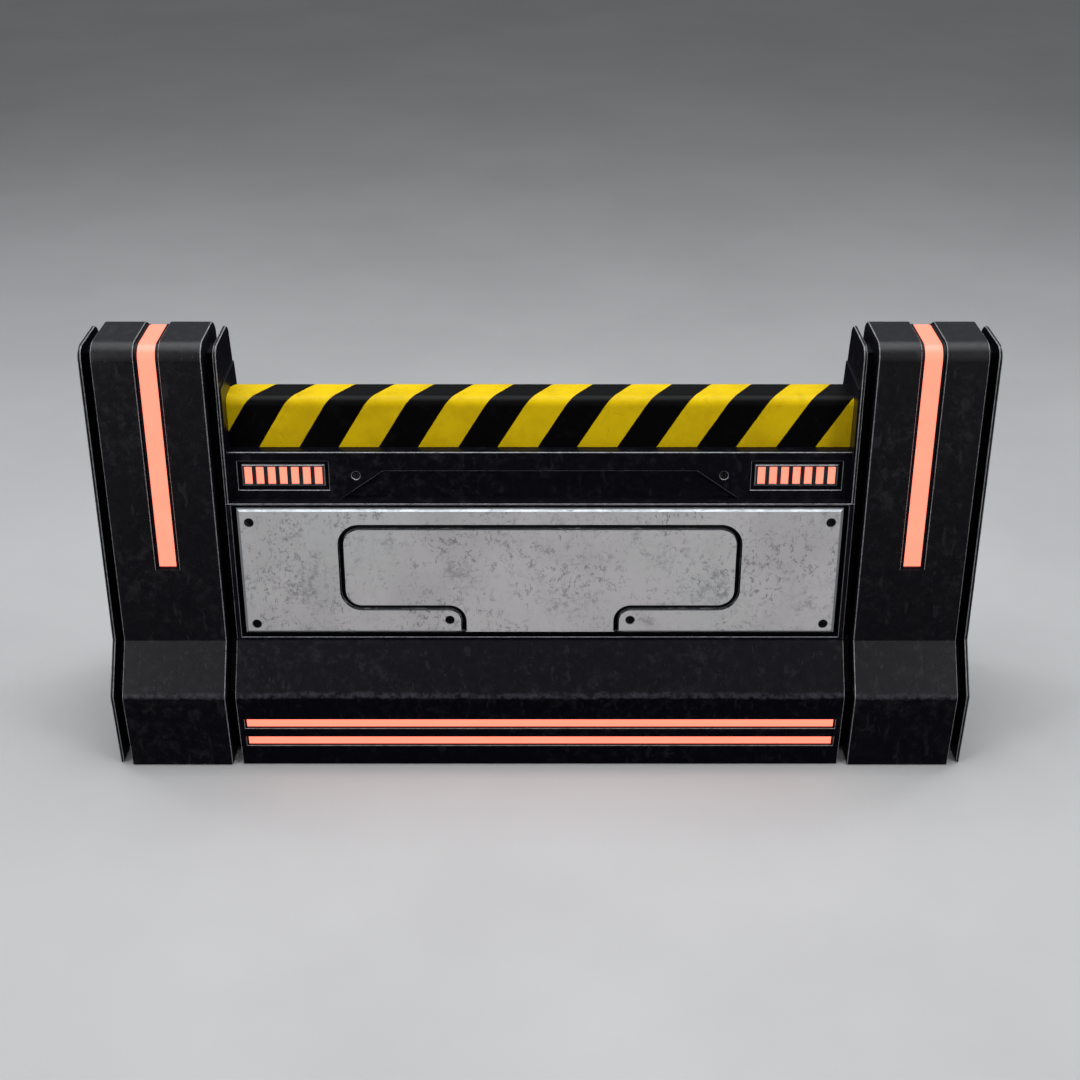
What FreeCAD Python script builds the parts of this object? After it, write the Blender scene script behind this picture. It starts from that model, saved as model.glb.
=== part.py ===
import FreeCAD, Part
import math
import os
import types

import Sketcher

# Modular security barricade.  Millimetres, +Z up, X along its length, Y through its depth.
# The origin is on the ground, under the middle of the barricade.
# Two pillars (a sheet-steel hood between two cheek plates) carry a crash beam, and between
# them stand a base cover, a tray with an armour plate and a fascia on both long sides.

Vector = FreeCAD.Vector
doc = FreeCAD.newDocument("Barricade")

DRIVING = dict(
    # Outline of a pillar, seen from its end: skirt, sloping shoulder, leaning upper face, crown.
    base_half_depth=255.5,
    skirt_height=202.5,
    shoulder_half_depth=171,
    shoulder_height=311,
    crown_half_depth=87,
    crown_height=1037,
    crown_radius=40,
    skirt_radius=18,
    floor_gap=3,
    # Pillars.
    pillar_centre=877,
    hood_width=246,
    hood_wall=5,
    edge_bevel=1.8,
    slot_bevel=1.26,
    groove_width=24,
    cheek_thickness=7.5,
    cheek_inset=10,
    cheek_lower_inset=18,
    cheek_step_gap=0.5,
    spacer_inset=62,
    spacer_foot_gap=10,
    spacer_drop=25,
    spacer_top_drop=40,
    column_width=140,
    column_depth=100,
    column_wall=5,
    column_top=985,
    foot_height=15,
    foot_radius=30,
    foot_x=70,
    foot_y=190,
    foot_bevel=2,
    base_plate_thickness=10,
    base_plate_half_width=112,
    base_plate_half_depth=232,
    base_plate_corner=10,
    bolt_radius=5,
    bolt_head_radius=9,
    bolt_head_depth=3.5,
    bolt_head_setback=0.5,
    bolt_in_hood=6,
    bolt_socket_radius=3,
    bolt_socket_depth=2,
    hole_clearance=0.3,
    # Light strip over each pillar.
    slot_width=56,
    slot_bottom=496,
    light_tray_width=72,
    light_tray_inset=21,
    light_tray_floor=2,
    light_tray_overlap=14,
    light_channel_gap=0.2,
    light_channel_start=3,
    pillar_lens_width=40,
    pillar_lens_inset=7,
    pillar_lens_thickness=8,
    pillar_lens_start=6,
    led_start=3,
    led_thickness=1.5,
    led_width=12,
    # Base cover between the pillars.
    centre_half_length=730,
    cover_inset=3.5,
    cover_wall=5,
    cover_return=12,
    base_slot_half_length=714.4,
    base_slot_height=26,
    base_slot_low=58.5,
    base_slot_pitch=51.5,
    base_slot_bevel=1.1,
    base_lens_half_length=710,
    base_lens_height=22,
    base_lens_recess=6,
    base_lens_thickness=8,
    base_tray_depth=16,
    base_tray_floor=4,
    base_tray_margin=10,
    base_led_half_length=690,
    # Tray and armour plate, measured up the leaning face from the shoulder.
    tray_bottom_height=310,
    tray_top_height=657.8,
    tray_inset=10,
    tray_flange=7.5,
    tray_floor_inset=34,
    tray_floor=4,
    tray_bevel=1.2,
    tray_opening_bevel=1,
    tray_opening_half_length=718,
    tray_opening_low=5.2,
    tray_opening_high=345.4,
    ledge_inset=54,
    ledge_thickness=5,
    bay_half_length=405,
    bay_low=100,
    bay_high=282,
    plate_half_length=707,
    plate_low=15.2,
    plate_high=337.8,
    plate_thickness=10,
    plate_bevel=7,
    groove_radius=3,
    # T-shaped hatch in the armour plate: the line is the middle of the gap around it.
    hatch_thickness=9.5,
    hatch_gap=8.5,
    wing_half_length=468.4,
    wing_high=290.8,
    wing_low=82.8,
    stem_half_length=182.6,
    wing_radius=45,
    stem_radius=35,
    hinge_pin_radius=2.5,
    hinge_clearance=0.06,
    hinge_pin_in_plate=14,
    hinge_pin_in_hatch=22,
    hinge_bore_past=2,
    hinge_barrel_setback=0.01,
    seal_outside=12,
    seal_inside=9,
    seal_thickness=5.5,
    seal_start=12,
    catch_near_x=415,
    catch_far_x=445,
    catch_low=236,
    catch_high=262,
    catch_gap=0.5,
    # Plate screws.
    outer_screw_x=679,
    upper_screw_z=303,
    lower_screw_z=40.4,
    inner_screw_x=216,
    inner_screw_z=50.5,
    screw_counterbore=10.6,
    screw_head_radius=10,
    screw_head_top=1.6,
    screw_recess=5,
    screw_rim=0.8,
    screw_in_floor=2,
    screw_hexagon=8,
    screw_hexagon_depth=2,
    boss_radius=13,
    # Fascia with the signal lights and the quarter-turn locks.
    fascia_inset=36.5,
    fascia_wall=16,
    fascia_top_height=771.4,
    fascia_flange=8,
    fascia_half_length=718.5,
    fascia_flange_edge=8,
    fascia_gap=0.3,
    fascia_bevel=1.5,
    signal_near_x=490,
    signal_far_x=701,
    signal_low=374.5,
    signal_high=445.6,
    signal_depth=8,
    bezel_near_x=498.5,
    bezel_far_x=691,
    bezel_low=384.5,
    bezel_high=436.7,
    bezel_setback=0.5,
    bezel_bevel=2.2,
    board_thickness=1.6,
    signal_lens_width=17,
    signal_lens_low=389.8,
    signal_lens_high=431.1,
    signal_lens_pitch=27.1,
    signal_lens_first=514,
    signal_lens_setback=2,
    signal_lens_bevel=0.8,
    signal_lens_gap=0.3,
    signal_window_bevel=0.5,
    pocket_half_length=364.5,
    pocket_top=421.6,
    pocket_run=1.443,
    pocket_depth=13,
    pocket_bevel=1.2,
    lock_x=427,
    lock_z=410.6,
    lock_radius=9.4,
    lock_bore_radius=9.5,
    lock_ring=1.6,
    lock_setback=4.5,
    lock_end_inset=63,
    lock_bevel=1,
    key_slot_half_width=1.5,
    key_slot_half_height=6.5,
    key_slot_depth=6,
    tongue_thickness=4.5,
    tongue_reach=30,
    tongue_half_width=7,
    keeper_near_x=441,
    keeper_block_x=465,
    keeper_far_x=500,
    keeper_front_inset=54,
    keeper_plate=4,
    keeper_half_height=15,
    # Crash beam.
    beam_seat=0.05,
    beam_low_half_depth=53,
    beam_high_half_depth=47,
    beam_top_height=893,
    beam_radius=22,
    beam_wall=6,
    flange_inset=16,
    flange_low_height=660,
    flange_high_height=930,
    flange_bevel=1,
    # Inner frame, battery and control box.
    rail_y=120,
    rail_size=60,
    rail_low=20,
    tube_wall=4,
    post_x=470,
    post_size=60,
    sill_thickness=8,
    sill_half_width=40,
    sill_half_depth=150,
    shelf_height=410,
    shelf_thickness=5,
    shelf_half_depth=92,
    battery_near=-395,
    battery_far=170,
    battery_half_depth=86,
    battery_height=168,
    battery_corner=6,
    handle_half_length=80,
    handle_low=60,
    handle_high=105,
    handle_depth=14,
    box_near=196,
    box_far=396,
    box_half_depth=78,
    box_height=140,
    box_corner=5,
    box_lid=12,
    box_lid_inset=6,
)

slope_angle = math.atan2(DRIVING["base_half_depth"] - DRIVING["shoulder_half_depth"],
                         DRIVING["shoulder_height"] - DRIVING["skirt_height"])
lean_angle = math.atan2(DRIVING["shoulder_half_depth"] - DRIVING["crown_half_depth"],
                        DRIVING["crown_height"] - DRIVING["shoulder_height"])
turn = 1 + math.cos(slope_angle - lean_angle)

# How far each corner of the outline moves for every millimetre that the outline is inset.
DERIVED = dict(
    slope_run=math.tan(slope_angle),
    lean_degrees=math.degrees(lean_angle),
    lean_run=math.tan(lean_angle),
    lean_sine=math.sin(lean_angle),
    lean_cosine=math.cos(lean_angle),
    skirt_drop=math.tan(slope_angle / 2),
    shoulder_back=(math.cos(slope_angle) + math.cos(lean_angle)) / turn,
    shoulder_drop=(math.sin(slope_angle) + math.sin(lean_angle)) / turn,
    crown_back=1 / math.cos(lean_angle) - math.tan(lean_angle),
)


def text_of(amount):
    return amount.text if isinstance(amount, Size) else repr(amount)


def value_of(amount):
    return amount.value if isinstance(amount, Size) else amount


class Size:
    """An amount known both as a number and as the spreadsheet expression behind it."""

    def __init__(self, text, value):
        self.text = text
        self.value = value

    def __add__(self, other):
        return Size(f"({self.text} + {text_of(other)})", self.value + value_of(other))

    def __sub__(self, other):
        return Size(f"({self.text} - {text_of(other)})", self.value - value_of(other))

    def __rsub__(self, other):
        return Size(f"({text_of(other)} - {self.text})", value_of(other) - self.value)

    def __mul__(self, other):
        return Size(f"({self.text} * {text_of(other)})", self.value * value_of(other))

    def __truediv__(self, other):
        return Size(f"({self.text} / {text_of(other)})", self.value / value_of(other))

    def __neg__(self):
        return Size(f"(-1 * {self.text})", -self.value)

    __radd__ = __add__
    __rmul__ = __mul__


def make_sheet():
    """Write the driving dimensions into the sheet and hand them back by name."""
    sheet = doc.addObject("Spreadsheet::Sheet", "Sizes")
    sizes = {}
    for row, (name, value) in enumerate({**DRIVING, **DERIVED}.items(), start=1):
        number = round(value, 6)
        sheet.set(f"A{row}", name)
        sheet.set(f"B{row}", repr(number))
        sheet.setAlias(f"B{row}", name)
        sizes[name] = Size(f"Sizes.{name}", number)
    doc.recompute()
    return types.SimpleNamespace(**sizes)


D = make_sheet()
PAST = 1                  # how far a pocket runs past the material that it cuts
NEAR = 0.01               # points closer than this count as one
kept = []                 # the sub-parts that are written out


def bind(item, path, amount):
    if isinstance(amount, Size):
        item.setExpression(path, amount.text)


# ---------------------------------------------------------------- sketches and features

def rounding(before, point, after, radius):
    """Where the arc that rounds a corner starts and ends, and its centre."""
    back = (before - point).normalize()
    ahead = (after - point).normalize()
    half = back.getAngle(ahead) / 2
    run = radius / math.tan(half)
    centre = point + (back + ahead).normalize() * (radius / math.sin(half))
    return point + back * run, point + ahead * run, centre


def draw_outline(sketch, corners):
    """Draw a closed outline through corners (x, y) or (x, y, radius), tied to the sheet."""
    count = len(corners)
    points = [Vector(value_of(corner[0]), value_of(corner[1]), 0) for corner in corners]
    arrive, leave, arcs = list(points), list(points), [None] * count
    for i, corner in enumerate(corners):
        if len(corner) == 3:
            before, after = points[i - 1], points[(i + 1) % count]
            arrive[i], leave[i], centre = rounding(before, points[i], after, value_of(corner[2]))
            left_turn = (points[i] - before).cross(after - points[i]).z > 0
            ends = (arrive[i], leave[i]) if left_turn else (leave[i], arrive[i])
            angles = [math.atan2(end.y - centre.y, end.x - centre.x) for end in ends]
            circle = Part.Circle(centre, Vector(0, 0, 1), value_of(corner[2]))
            arc = sketch.addGeometry(Part.ArcOfCircle(circle, *angles))
            arcs[i] = (arc, 1 if left_turn else 2, 2 if left_turn else 1)
    lines = []
    for i in range(count):
        segment = Part.LineSegment(leave[i], arrive[(i + 1) % count])
        lines.append(sketch.addGeometry(segment))
    for i, corner in enumerate(corners):
        incoming, outgoing = lines[i - 1], lines[i]
        if arcs[i] is None:
            sketch.addConstraint(Sketcher.Constraint("Coincident", incoming, 2, outgoing, 1))
            place_point(sketch, outgoing, corner)
        else:
            arc, first, last = arcs[i]
            sketch.addConstraint(Sketcher.Constraint("Tangent", incoming, 2, arc, first))
            sketch.addConstraint(Sketcher.Constraint("Tangent", arc, last, outgoing, 1))
            index = sketch.addConstraint(
                Sketcher.Constraint("Radius", arc, value_of(corner[2])))
            bind(sketch, f"Constraints[{index}]", corner[2])
            sharp = sketch.addGeometry(Part.Point(points[i]), True)
            sketch.addConstraint(Sketcher.Constraint("PointOnObject", sharp, 1, incoming))
            sketch.addConstraint(Sketcher.Constraint("PointOnObject", sharp, 1, outgoing))
            place_point(sketch, sharp, corner)


def place_point(sketch, item, corner):
    """Fix the first point of a sketch item at a corner's two coordinates."""
    for kind, amount, axis in (("DistanceX", corner[0], -2), ("DistanceY", corner[1], -1)):
        if value_of(amount) == 0:
            sketch.addConstraint(Sketcher.Constraint("PointOnObject", item, 1, axis))
            continue
        index = sketch.addConstraint(
            Sketcher.Constraint(kind, -1, 1, item, 1, value_of(amount)))
        bind(sketch, f"Constraints[{index}]", amount)


def draw_circle(sketch, x, y, radius):
    centre = Vector(value_of(x), value_of(y), 0)
    circle = sketch.addGeometry(Part.Circle(centre, Vector(0, 0, 1), value_of(radius)))
    for kind, amount, axis in (("DistanceX", x, -2), ("DistanceY", y, -1)):
        if value_of(amount) == 0:
            sketch.addConstraint(Sketcher.Constraint("PointOnObject", circle, 3, axis))
            continue
        index = sketch.addConstraint(
            Sketcher.Constraint(kind, -1, 1, circle, 3, value_of(amount)))
        bind(sketch, f"Constraints[{index}]", amount)
    index = sketch.addConstraint(Sketcher.Constraint("Radius", circle, value_of(radius)))
    bind(sketch, f"Constraints[{index}]", radius)


class Piece:
    """A body built from pads and pockets that run from one coordinate to another."""

    def __init__(self, name):
        self.name = name
        self.body = doc.addObject("PartDesign::Body", name)
        self.body.Label = name
        self.body.AllowCompound = True
        self.count = 0

    def sketch(self, plane, outlines, circles, low):
        self.count += 1
        item = self.body.newObject("Sketcher::SketchObject", f"{self.name}_sketch{self.count}")
        origin_planes = self.body.Origin.OriginFeatures
        support = [entry for entry in origin_planes if entry.Role == f"{plane}_Plane"][0]
        item.AttachmentSupport = [(support, "")]
        item.MapMode = "FlatFace"
        shift = -low if plane == "XZ" else low
        item.AttachmentOffset = FreeCAD.Placement(
            Vector(0, 0, value_of(shift)), FreeCAD.Rotation())
        bind(item, "AttachmentOffset.Base.z", shift)
        for outline in outlines:
            draw_outline(item, outline)
        for circle in circles:
            draw_circle(item, *circle)
        return item

    def extrude(self, kind, plane, low, high, outlines, circles):
        profile = self.sketch(plane, outlines, circles, low)
        feature = self.body.newObject(f"PartDesign::{kind}", f"{self.name}_{kind}{self.count}")
        feature.Profile = profile
        feature.Length = value_of(high) - value_of(low)
        bind(feature, "Length", high - low)
        # The XZ plane of a body faces -Y, and a pocket starts out against its sketch's normal.
        feature.Reversed = (plane == "XZ") == (kind == "Pad")
        profile.Visibility = False
        return feature

    def pad(self, plane, low, high, *outlines, circles=()):
        """Add material between two coordinates on the axis across the plane."""
        self.extrude("Pad", plane, low, high, outlines, circles)
        doc.recompute()
        return self

    def cut(self, plane, low, high, *outlines, circles=()):
        """Take material away between two coordinates on the axis across the plane."""
        before = self.body.Shape.Volume
        self.extrude("Pocket", plane, low, high, outlines, circles)
        doc.recompute()
        if self.body.Shape.Volume > before - NEAR:
            raise RuntimeError(f"a pocket in {self.name} cuts nothing")
        return self

    def dress(self, kind, amount, chosen):
        tip = self.body.Tip
        names = [f"Edge{i}" for i, edge in enumerate(tip.Shape.Edges, start=1) if chosen(edge)]
        if not names:
            raise RuntimeError(f"no edge to dress on {self.name}")
        feature = self.body.newObject(f"PartDesign::{kind}", f"{self.name}_{kind}")
        feature.Base = (tip, names)
        prop = "Radius" if kind == "Fillet" else "Size"
        setattr(feature, prop, value_of(amount))
        bind(feature, prop, amount)
        doc.recompute()
        return self

    def bevel(self, amount, chosen):
        return self.dress("Chamfer", amount, chosen)

    def fillet(self, amount, chosen):
        return self.dress("Fillet", amount, chosen)

    def place(self, placement, x=0, y=0, z=0):
        put(self.body, placement, x, y, z)
        return self

    def keep(self):
        kept.append(self.body)
        return self


def put(item, rotation, x=0, y=0, z=0):
    """Set an object's Placement and tie its position to the sheet."""
    item.Placement = FreeCAD.Placement(
        Vector(value_of(x), value_of(y), value_of(z)), rotation)
    for axis, amount in (("x", x), ("y", y), ("z", z)):
        bind(item, f"Placement.Base.{axis}", amount)


def group(name, members):
    """One node that holds several separate solids."""
    compound = doc.addObject("Part::Compound", name)
    compound.Label = name
    compound.Links = [member.body for member in members]
    kept.append(compound)
    return compound


def rectangle(x1, y1, x2, y2):
    return [(x1, y1), (x2, y1), (x2, y2), (x1, y2)]


def edge_points(edge):
    first, last = edge.ParameterRange
    return [edge.valueAt(first), edge.valueAt((first + last) / 2), edge.valueAt(last)]


def on_plane(axis, amount):
    """Choose the edges that lie in a plane across one axis."""
    def chosen(edge):
        return all(abs(getattr(point, axis) - value_of(amount)) < NEAR
                   for point in edge_points(edge))
    return chosen


def both(*tests):
    return lambda edge: all(test(edge) for test in tests)


def either(*tests):
    return lambda edge: any(test(edge) for test in tests)


def upright_edge(edge):
    return abs(edge.tangentAt(edge.FirstParameter).z) > 1 - NEAR


def round_edge(edge):
    return isinstance(edge.Curve, Part.Circle)


def within(axis, low, high):
    """Choose the edges that stay between two coordinates on one axis."""
    def chosen(edge):
        return all(value_of(low) < getattr(point, axis) < value_of(high)
                   for point in edge_points(edge))
    return chosen


# ---------------------------------------------------------------- outlines in the YZ plane

def face_y(height, inset):
    """How far the leaning face is from the middle at a height, once inset."""
    rise = height - D.shoulder_height
    return D.shoulder_half_depth - rise * D.lean_run - inset / D.lean_cosine


def front_side(inset):
    """Corners of the outline up one side, skirt to crown, as distances from the middle."""
    return [
        (D.base_half_depth - inset, D.skirt_height - inset * D.skirt_drop, "skirt"),
        (D.shoulder_half_depth - inset * D.shoulder_back,
         D.shoulder_height - inset * D.shoulder_drop, None),
        (D.crown_half_depth - inset * D.crown_back, D.crown_height - inset, "crown"),
    ]


def rounded(y, z, corner, inset):
    if corner == "skirt":
        return (y, z, D.skirt_radius)
    if corner == "crown":
        return (y, z, D.crown_radius - inset)
    return (y, z)


def mirror_outline(front):
    """Close an outline from its front half: the rear half is the same, mirrored."""
    rear = [(-corner[0],) + tuple(corner[1:]) for corner in reversed(front)]
    return front + rear


def pillar_outline(inset, bottom):
    front = [(-(D.base_half_depth - inset), bottom)]
    front += [rounded(-y, z, corner, inset) for y, z, corner in front_side(inset)]
    return mirror_outline(front)


def arch_outline(outer_inset, inner_inset, bottom):
    """A band that follows the leaning faces and the crown, open at the bottom."""
    crowns = [
        (-(D.crown_half_depth - inset * D.crown_back), D.crown_height - inset,
         D.crown_radius - inset)
        for inset in (outer_inset, inner_inset)
    ]
    outer = mirror_outline([(-face_y(bottom, outer_inset), bottom), crowns[0]])
    inner = mirror_outline([(-face_y(bottom, inner_inset), bottom), crowns[1]])
    return outer + inner[::-1]


# ---------------------------------------------------------------- pillars

TURNED = FreeCAD.Rotation(Vector(0, 0, 1), 180)
STRAIGHT = FreeCAD.Rotation()
HALF_HOOD = D.hood_width / 2
CHEEK_FROM = HALF_HOOD + D.groove_width
CHEEK_TO = CHEEK_FROM + D.cheek_thickness

# (y, z) of the cross bolts that hold cheeks, spacers and hood together.
BOLT_PLACES = [(-150, 120), (150, 120), (-70, 420), (70, 420), (0, 720)]


def bolt_circles(radius):
    return [(y, z, radius) for y, z in BOLT_PLACES]


def make_hood(name):
    half_slot = D.slot_width / 2
    reach = D.base_half_depth + PAST
    above = D.crown_height + PAST
    hood = Piece(name)
    hood.pad("YZ", -HALF_HOOD, HALF_HOOD, pillar_outline(0, D.floor_gap))
    hood.bevel(D.edge_bevel, both(
        either(on_plane("x", HALF_HOOD), on_plane("x", -HALF_HOOD)),
        lambda edge: not on_plane("z", D.floor_gap)(edge)))
    hood.cut("XZ", -reach, reach, rectangle(-half_slot, D.slot_bottom, half_slot, above))
    hood.bevel(D.slot_bevel, both(
        either(on_plane("x", half_slot), on_plane("x", -half_slot)),
        lambda edge: not on_plane("z", D.slot_bottom)(edge)))
    inner = D.hood_wall
    hood.cut("YZ", inner - HALF_HOOD, HALF_HOOD - inner, pillar_outline(inner, -inner))
    hood.cut("YZ", -HALF_HOOD - PAST, HALF_HOOD + PAST, circles=bolt_circles(D.bolt_radius))
    return hood


def make_cheek(name, outward, inner):
    """A thin plate with the pillar's outline, beside the hood."""
    low, high = (CHEEK_FROM, CHEEK_TO) if outward > 0 else (-CHEEK_TO, -CHEEK_FROM)
    cheek = Piece(name)
    if inner:
        step = D.tray_top_height + D.cheek_step_gap
        lower = front_side(D.cheek_lower_inset)[:2]
        upper = front_side(D.cheek_inset)[2]
        front = [(-(D.base_half_depth - D.cheek_lower_inset), D.floor_gap)]
        front += [rounded(-y, z, corner, D.cheek_lower_inset) for y, z, corner in lower]
        front += [(-face_y(step, D.cheek_lower_inset), step),
                  (-face_y(step, D.cheek_inset), step),
                  rounded(-upper[0], upper[1], upper[2], D.cheek_inset)]
        outline = mirror_outline(front)
    else:
        outline = pillar_outline(D.cheek_inset, D.floor_gap)
    cheek.pad("YZ", low, high, outline)
    cheek.bevel(D.edge_bevel, both(
        either(on_plane("x", low), on_plane("x", high)),
        within("z", D.floor_gap + NEAR, D.crown_height + PAST),
        lambda edge: not on_plane("z", D.tray_top_height + D.cheek_step_gap)(edge)))
    cheek.cut("YZ", low - PAST, high + PAST,
              circles=bolt_circles(D.bolt_radius + D.hole_clearance))
    sinks = (high - D.bolt_head_depth, high + PAST)
    if outward < 0:
        sinks = (low - PAST, low + D.bolt_head_depth)
    cheek.cut("YZ", *sinks, circles=bolt_circles(D.bolt_head_radius + D.hole_clearance))
    return cheek


def make_spacer(name, outward):
    low, high = (HALF_HOOD, CHEEK_FROM) if outward > 0 else (-CHEEK_FROM, -HALF_HOOD)
    top = D.crown_height - D.spacer_top_drop
    spacer = Piece(name)
    spacer.pad("YZ", low, high, mirror_outline([
        (-(D.base_half_depth - D.spacer_inset), D.floor_gap + D.spacer_foot_gap),
        (-(D.base_half_depth - D.spacer_inset), D.skirt_height - D.spacer_drop),
        (-(D.shoulder_half_depth - D.spacer_inset), D.shoulder_height - D.spacer_drop),
        (-face_y(top, D.spacer_inset), top),
    ]))
    spacer.cut("YZ", low - PAST, high + PAST,
               circles=bolt_circles(D.bolt_radius + D.hole_clearance))
    return spacer


def make_light_tray(name):
    half, channel = D.light_tray_width / 2, D.pillar_lens_width / 2 + D.light_channel_gap
    tray = Piece(name)
    tray.pad("YZ", -half, half,
             arch_outline(D.hood_wall, D.light_tray_inset,
                          D.slot_bottom - D.light_tray_overlap))
    tray.cut("YZ", -channel, channel,
             arch_outline(D.hood_wall - PAST, D.light_tray_inset - D.light_tray_floor,
                          D.slot_bottom + D.light_channel_start))
    return tray


def make_strip(name, half_width, inset, thickness, bottom):
    strip = Piece(name)
    strip.pad("YZ", -half_width, half_width, arch_outline(inset, inset + thickness, bottom))
    return strip


def make_column(name):
    low = D.foot_height + D.base_plate_thickness
    half_x, half_y = D.column_width / 2, D.column_depth / 2
    wall = D.column_wall
    column = Piece(name)
    column.pad("XY", low, D.column_top, rectangle(-half_x, -half_y, half_x, half_y))
    column.cut("XY", low - PAST, D.column_top + PAST,
               rectangle(wall - half_x, wall - half_y, half_x - wall, half_y - wall))
    return column


def make_base_plate(name):
    half_x, half_y = D.base_plate_half_width, D.base_plate_half_depth
    plate = Piece(name)
    plate.pad("XY", D.foot_height, D.foot_height + D.base_plate_thickness,
              rectangle(-half_x, -half_y, half_x, half_y))
    plate.fillet(D.base_plate_corner, upright_edge)
    return plate


def make_feet(name):
    feet = Piece(name)
    spots = [(x, y, D.foot_radius) for x in (-D.foot_x, D.foot_x)
             for y in (-D.foot_y, D.foot_y)]
    feet.pad("XY", 0, D.foot_height, circles=spots)
    feet.bevel(D.foot_bevel, on_plane("z", 0))
    return feet


def make_cross_bolts(name, outward):
    """Countersunk bolts from a cheek, through its spacer, into the hood's side wall."""
    bolts = Piece(name)
    inner_end, outer_end = HALF_HOOD - D.hood_wall - D.bolt_in_hood, CHEEK_TO - D.bolt_head_depth
    head_end = CHEEK_TO - D.bolt_head_setback
    socket = head_end - D.bolt_socket_depth
    spans = [(inner_end, outer_end), (outer_end, head_end), (socket, head_end + PAST)]
    if outward < 0:
        spans = [(-high, -low) for low, high in spans]
    bolts.pad("YZ", *spans[0], circles=bolt_circles(D.bolt_radius))
    bolts.pad("YZ", *spans[1], circles=bolt_circles(D.bolt_head_radius))
    bolts.cut("YZ", *spans[2], circles=bolt_circles(D.bolt_socket_radius))
    return bolts


def make_pillar(side, sign):
    rotation = STRAIGHT if sign > 0 else TURNED
    lens_bottom = D.slot_bottom + D.pillar_lens_start
    led_inset = D.light_tray_inset - D.light_tray_floor - D.led_thickness
    members = [
        make_hood(f"{side}_hood"),
        make_cheek(f"{side}_outer_cheek", 1, inner=False),
        make_cheek(f"{side}_inner_cheek", -1, inner=True),
        make_spacer(f"{side}_outer_spacer", 1),
        make_spacer(f"{side}_inner_spacer", -1),
        make_light_tray(f"{side}_light_tray"),
        make_strip(f"{side}_light_lens", D.pillar_lens_width / 2, D.pillar_lens_inset,
                   D.pillar_lens_thickness, lens_bottom),
        make_strip(f"{side}_led_strip", D.led_width / 2, led_inset, D.led_thickness,
                   lens_bottom + D.led_start),
        make_column(f"{side}_column"),
        make_base_plate(f"{side}_base_plate"),
    ]
    for member in members:
        member.place(rotation, x=sign * D.pillar_centre).keep()
    feet = make_feet(f"{side}_feet")
    bolts = [make_cross_bolts(f"{side}_outer_bolts", 1),
             make_cross_bolts(f"{side}_inner_bolts", -1)]
    for member in [feet] + bolts:
        member.place(rotation, x=sign * D.pillar_centre)
    group(f"{side}_cross_bolts", bolts)
    return feet


# ---------------------------------------------------------------- base cover and its lights

SLOT_LEVELS = [D.base_slot_low, D.base_slot_low + D.base_slot_pitch]


def make_base_cover(name):
    """Folded sheet: skirt, sloping shoulder and a return under the tray."""
    outer = front_side(D.cover_inset)
    inner = front_side(D.cover_inset + D.cover_wall)
    top = outer[1][1]
    under = top - D.cover_wall
    fold_y = inner[1][0] + (inner[1][1] - under) * D.slope_run
    edge_y = outer[1][0] - D.cover_return
    section = [
        (-outer[0][0], D.floor_gap),
        (-outer[0][0], outer[0][1], D.skirt_radius),
        (-outer[1][0], top),
        (-edge_y, top),
        (-edge_y, under),
        (-fold_y, under),
        (-inner[0][0], inner[0][1], D.skirt_radius - D.cover_wall),
        (-inner[0][0], D.floor_gap),
    ]
    cover = Piece(name)
    cover.pad("YZ", -D.centre_half_length, D.centre_half_length, section)
    cover.bevel(D.edge_bevel, both(
        either(on_plane("x", D.centre_half_length), on_plane("x", -D.centre_half_length)),
        outside_section(fold_y, inner[0][0], under)))
    face = -outer[0][0]
    for low in SLOT_LEVELS:
        cover.cut("XZ", face - PAST, face + D.cover_wall + PAST,
                  rectangle(-D.base_slot_half_length, low,
                            D.base_slot_half_length, low + D.base_slot_height))
        cover.bevel(D.base_slot_bevel, both(
            on_plane("y", face), within("z", low - PAST, low + D.base_slot_height + PAST)))
    return cover


def outside_section(fold_y, skirt_y, under):
    """Choose the end edges on the outside of the folded sheet, not those inside it."""
    def chosen(edge):
        middle = edge_points(edge)[1]
        if middle.z > value_of(under) + PAST:
            return middle.y < -value_of(fold_y) - PAST
        skirt = middle.y < -value_of(skirt_y) - PAST
        above = middle.z > value_of(D.skirt_height - D.skirt_radius)
        slope = above and not inside_slope(middle)
        return (skirt or slope) and middle.z > value_of(D.floor_gap) + PAST
    return chosen


def inside_slope(point):
    """True for a point nearer to the inner skin of the sloping sheet than to the outer."""
    outer = front_side(D.cover_inset)
    rise = value_of(outer[1][1]) - point.z
    surface = value_of(outer[1][0]) + rise * value_of(D.slope_run)
    return surface + point.y > value_of(D.cover_wall) / 2


def make_base_light_tray(name):
    front = D.base_half_depth - D.cover_inset - D.cover_wall
    margin, back = D.base_tray_margin, front - D.base_tray_depth
    half = D.base_lens_half_length + margin
    low, high = D.base_slot_low - margin, SLOT_LEVELS[1] + D.base_slot_height + margin
    tray = Piece(name)
    tray.pad("XZ", -front, -back, rectangle(-half, low, half, high))
    channel = D.base_slot_half_length
    for level in SLOT_LEVELS:
        tray.cut("XZ", -front - PAST, -(back + D.base_tray_floor),
                 rectangle(-channel, level, channel, level + D.base_slot_height))
    return tray


def make_base_lenses(name):
    front = D.base_half_depth - D.cover_inset - D.base_lens_recess
    half, gap = D.base_lens_half_length, (D.base_slot_height - D.base_lens_height) / 2
    lenses = Piece(name)
    bars = [rectangle(-half, low + gap, half, low + gap + D.base_lens_height)
            for low in SLOT_LEVELS]
    lenses.pad("XZ", -front, -(front - D.base_lens_thickness), *bars)
    return lenses


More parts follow.
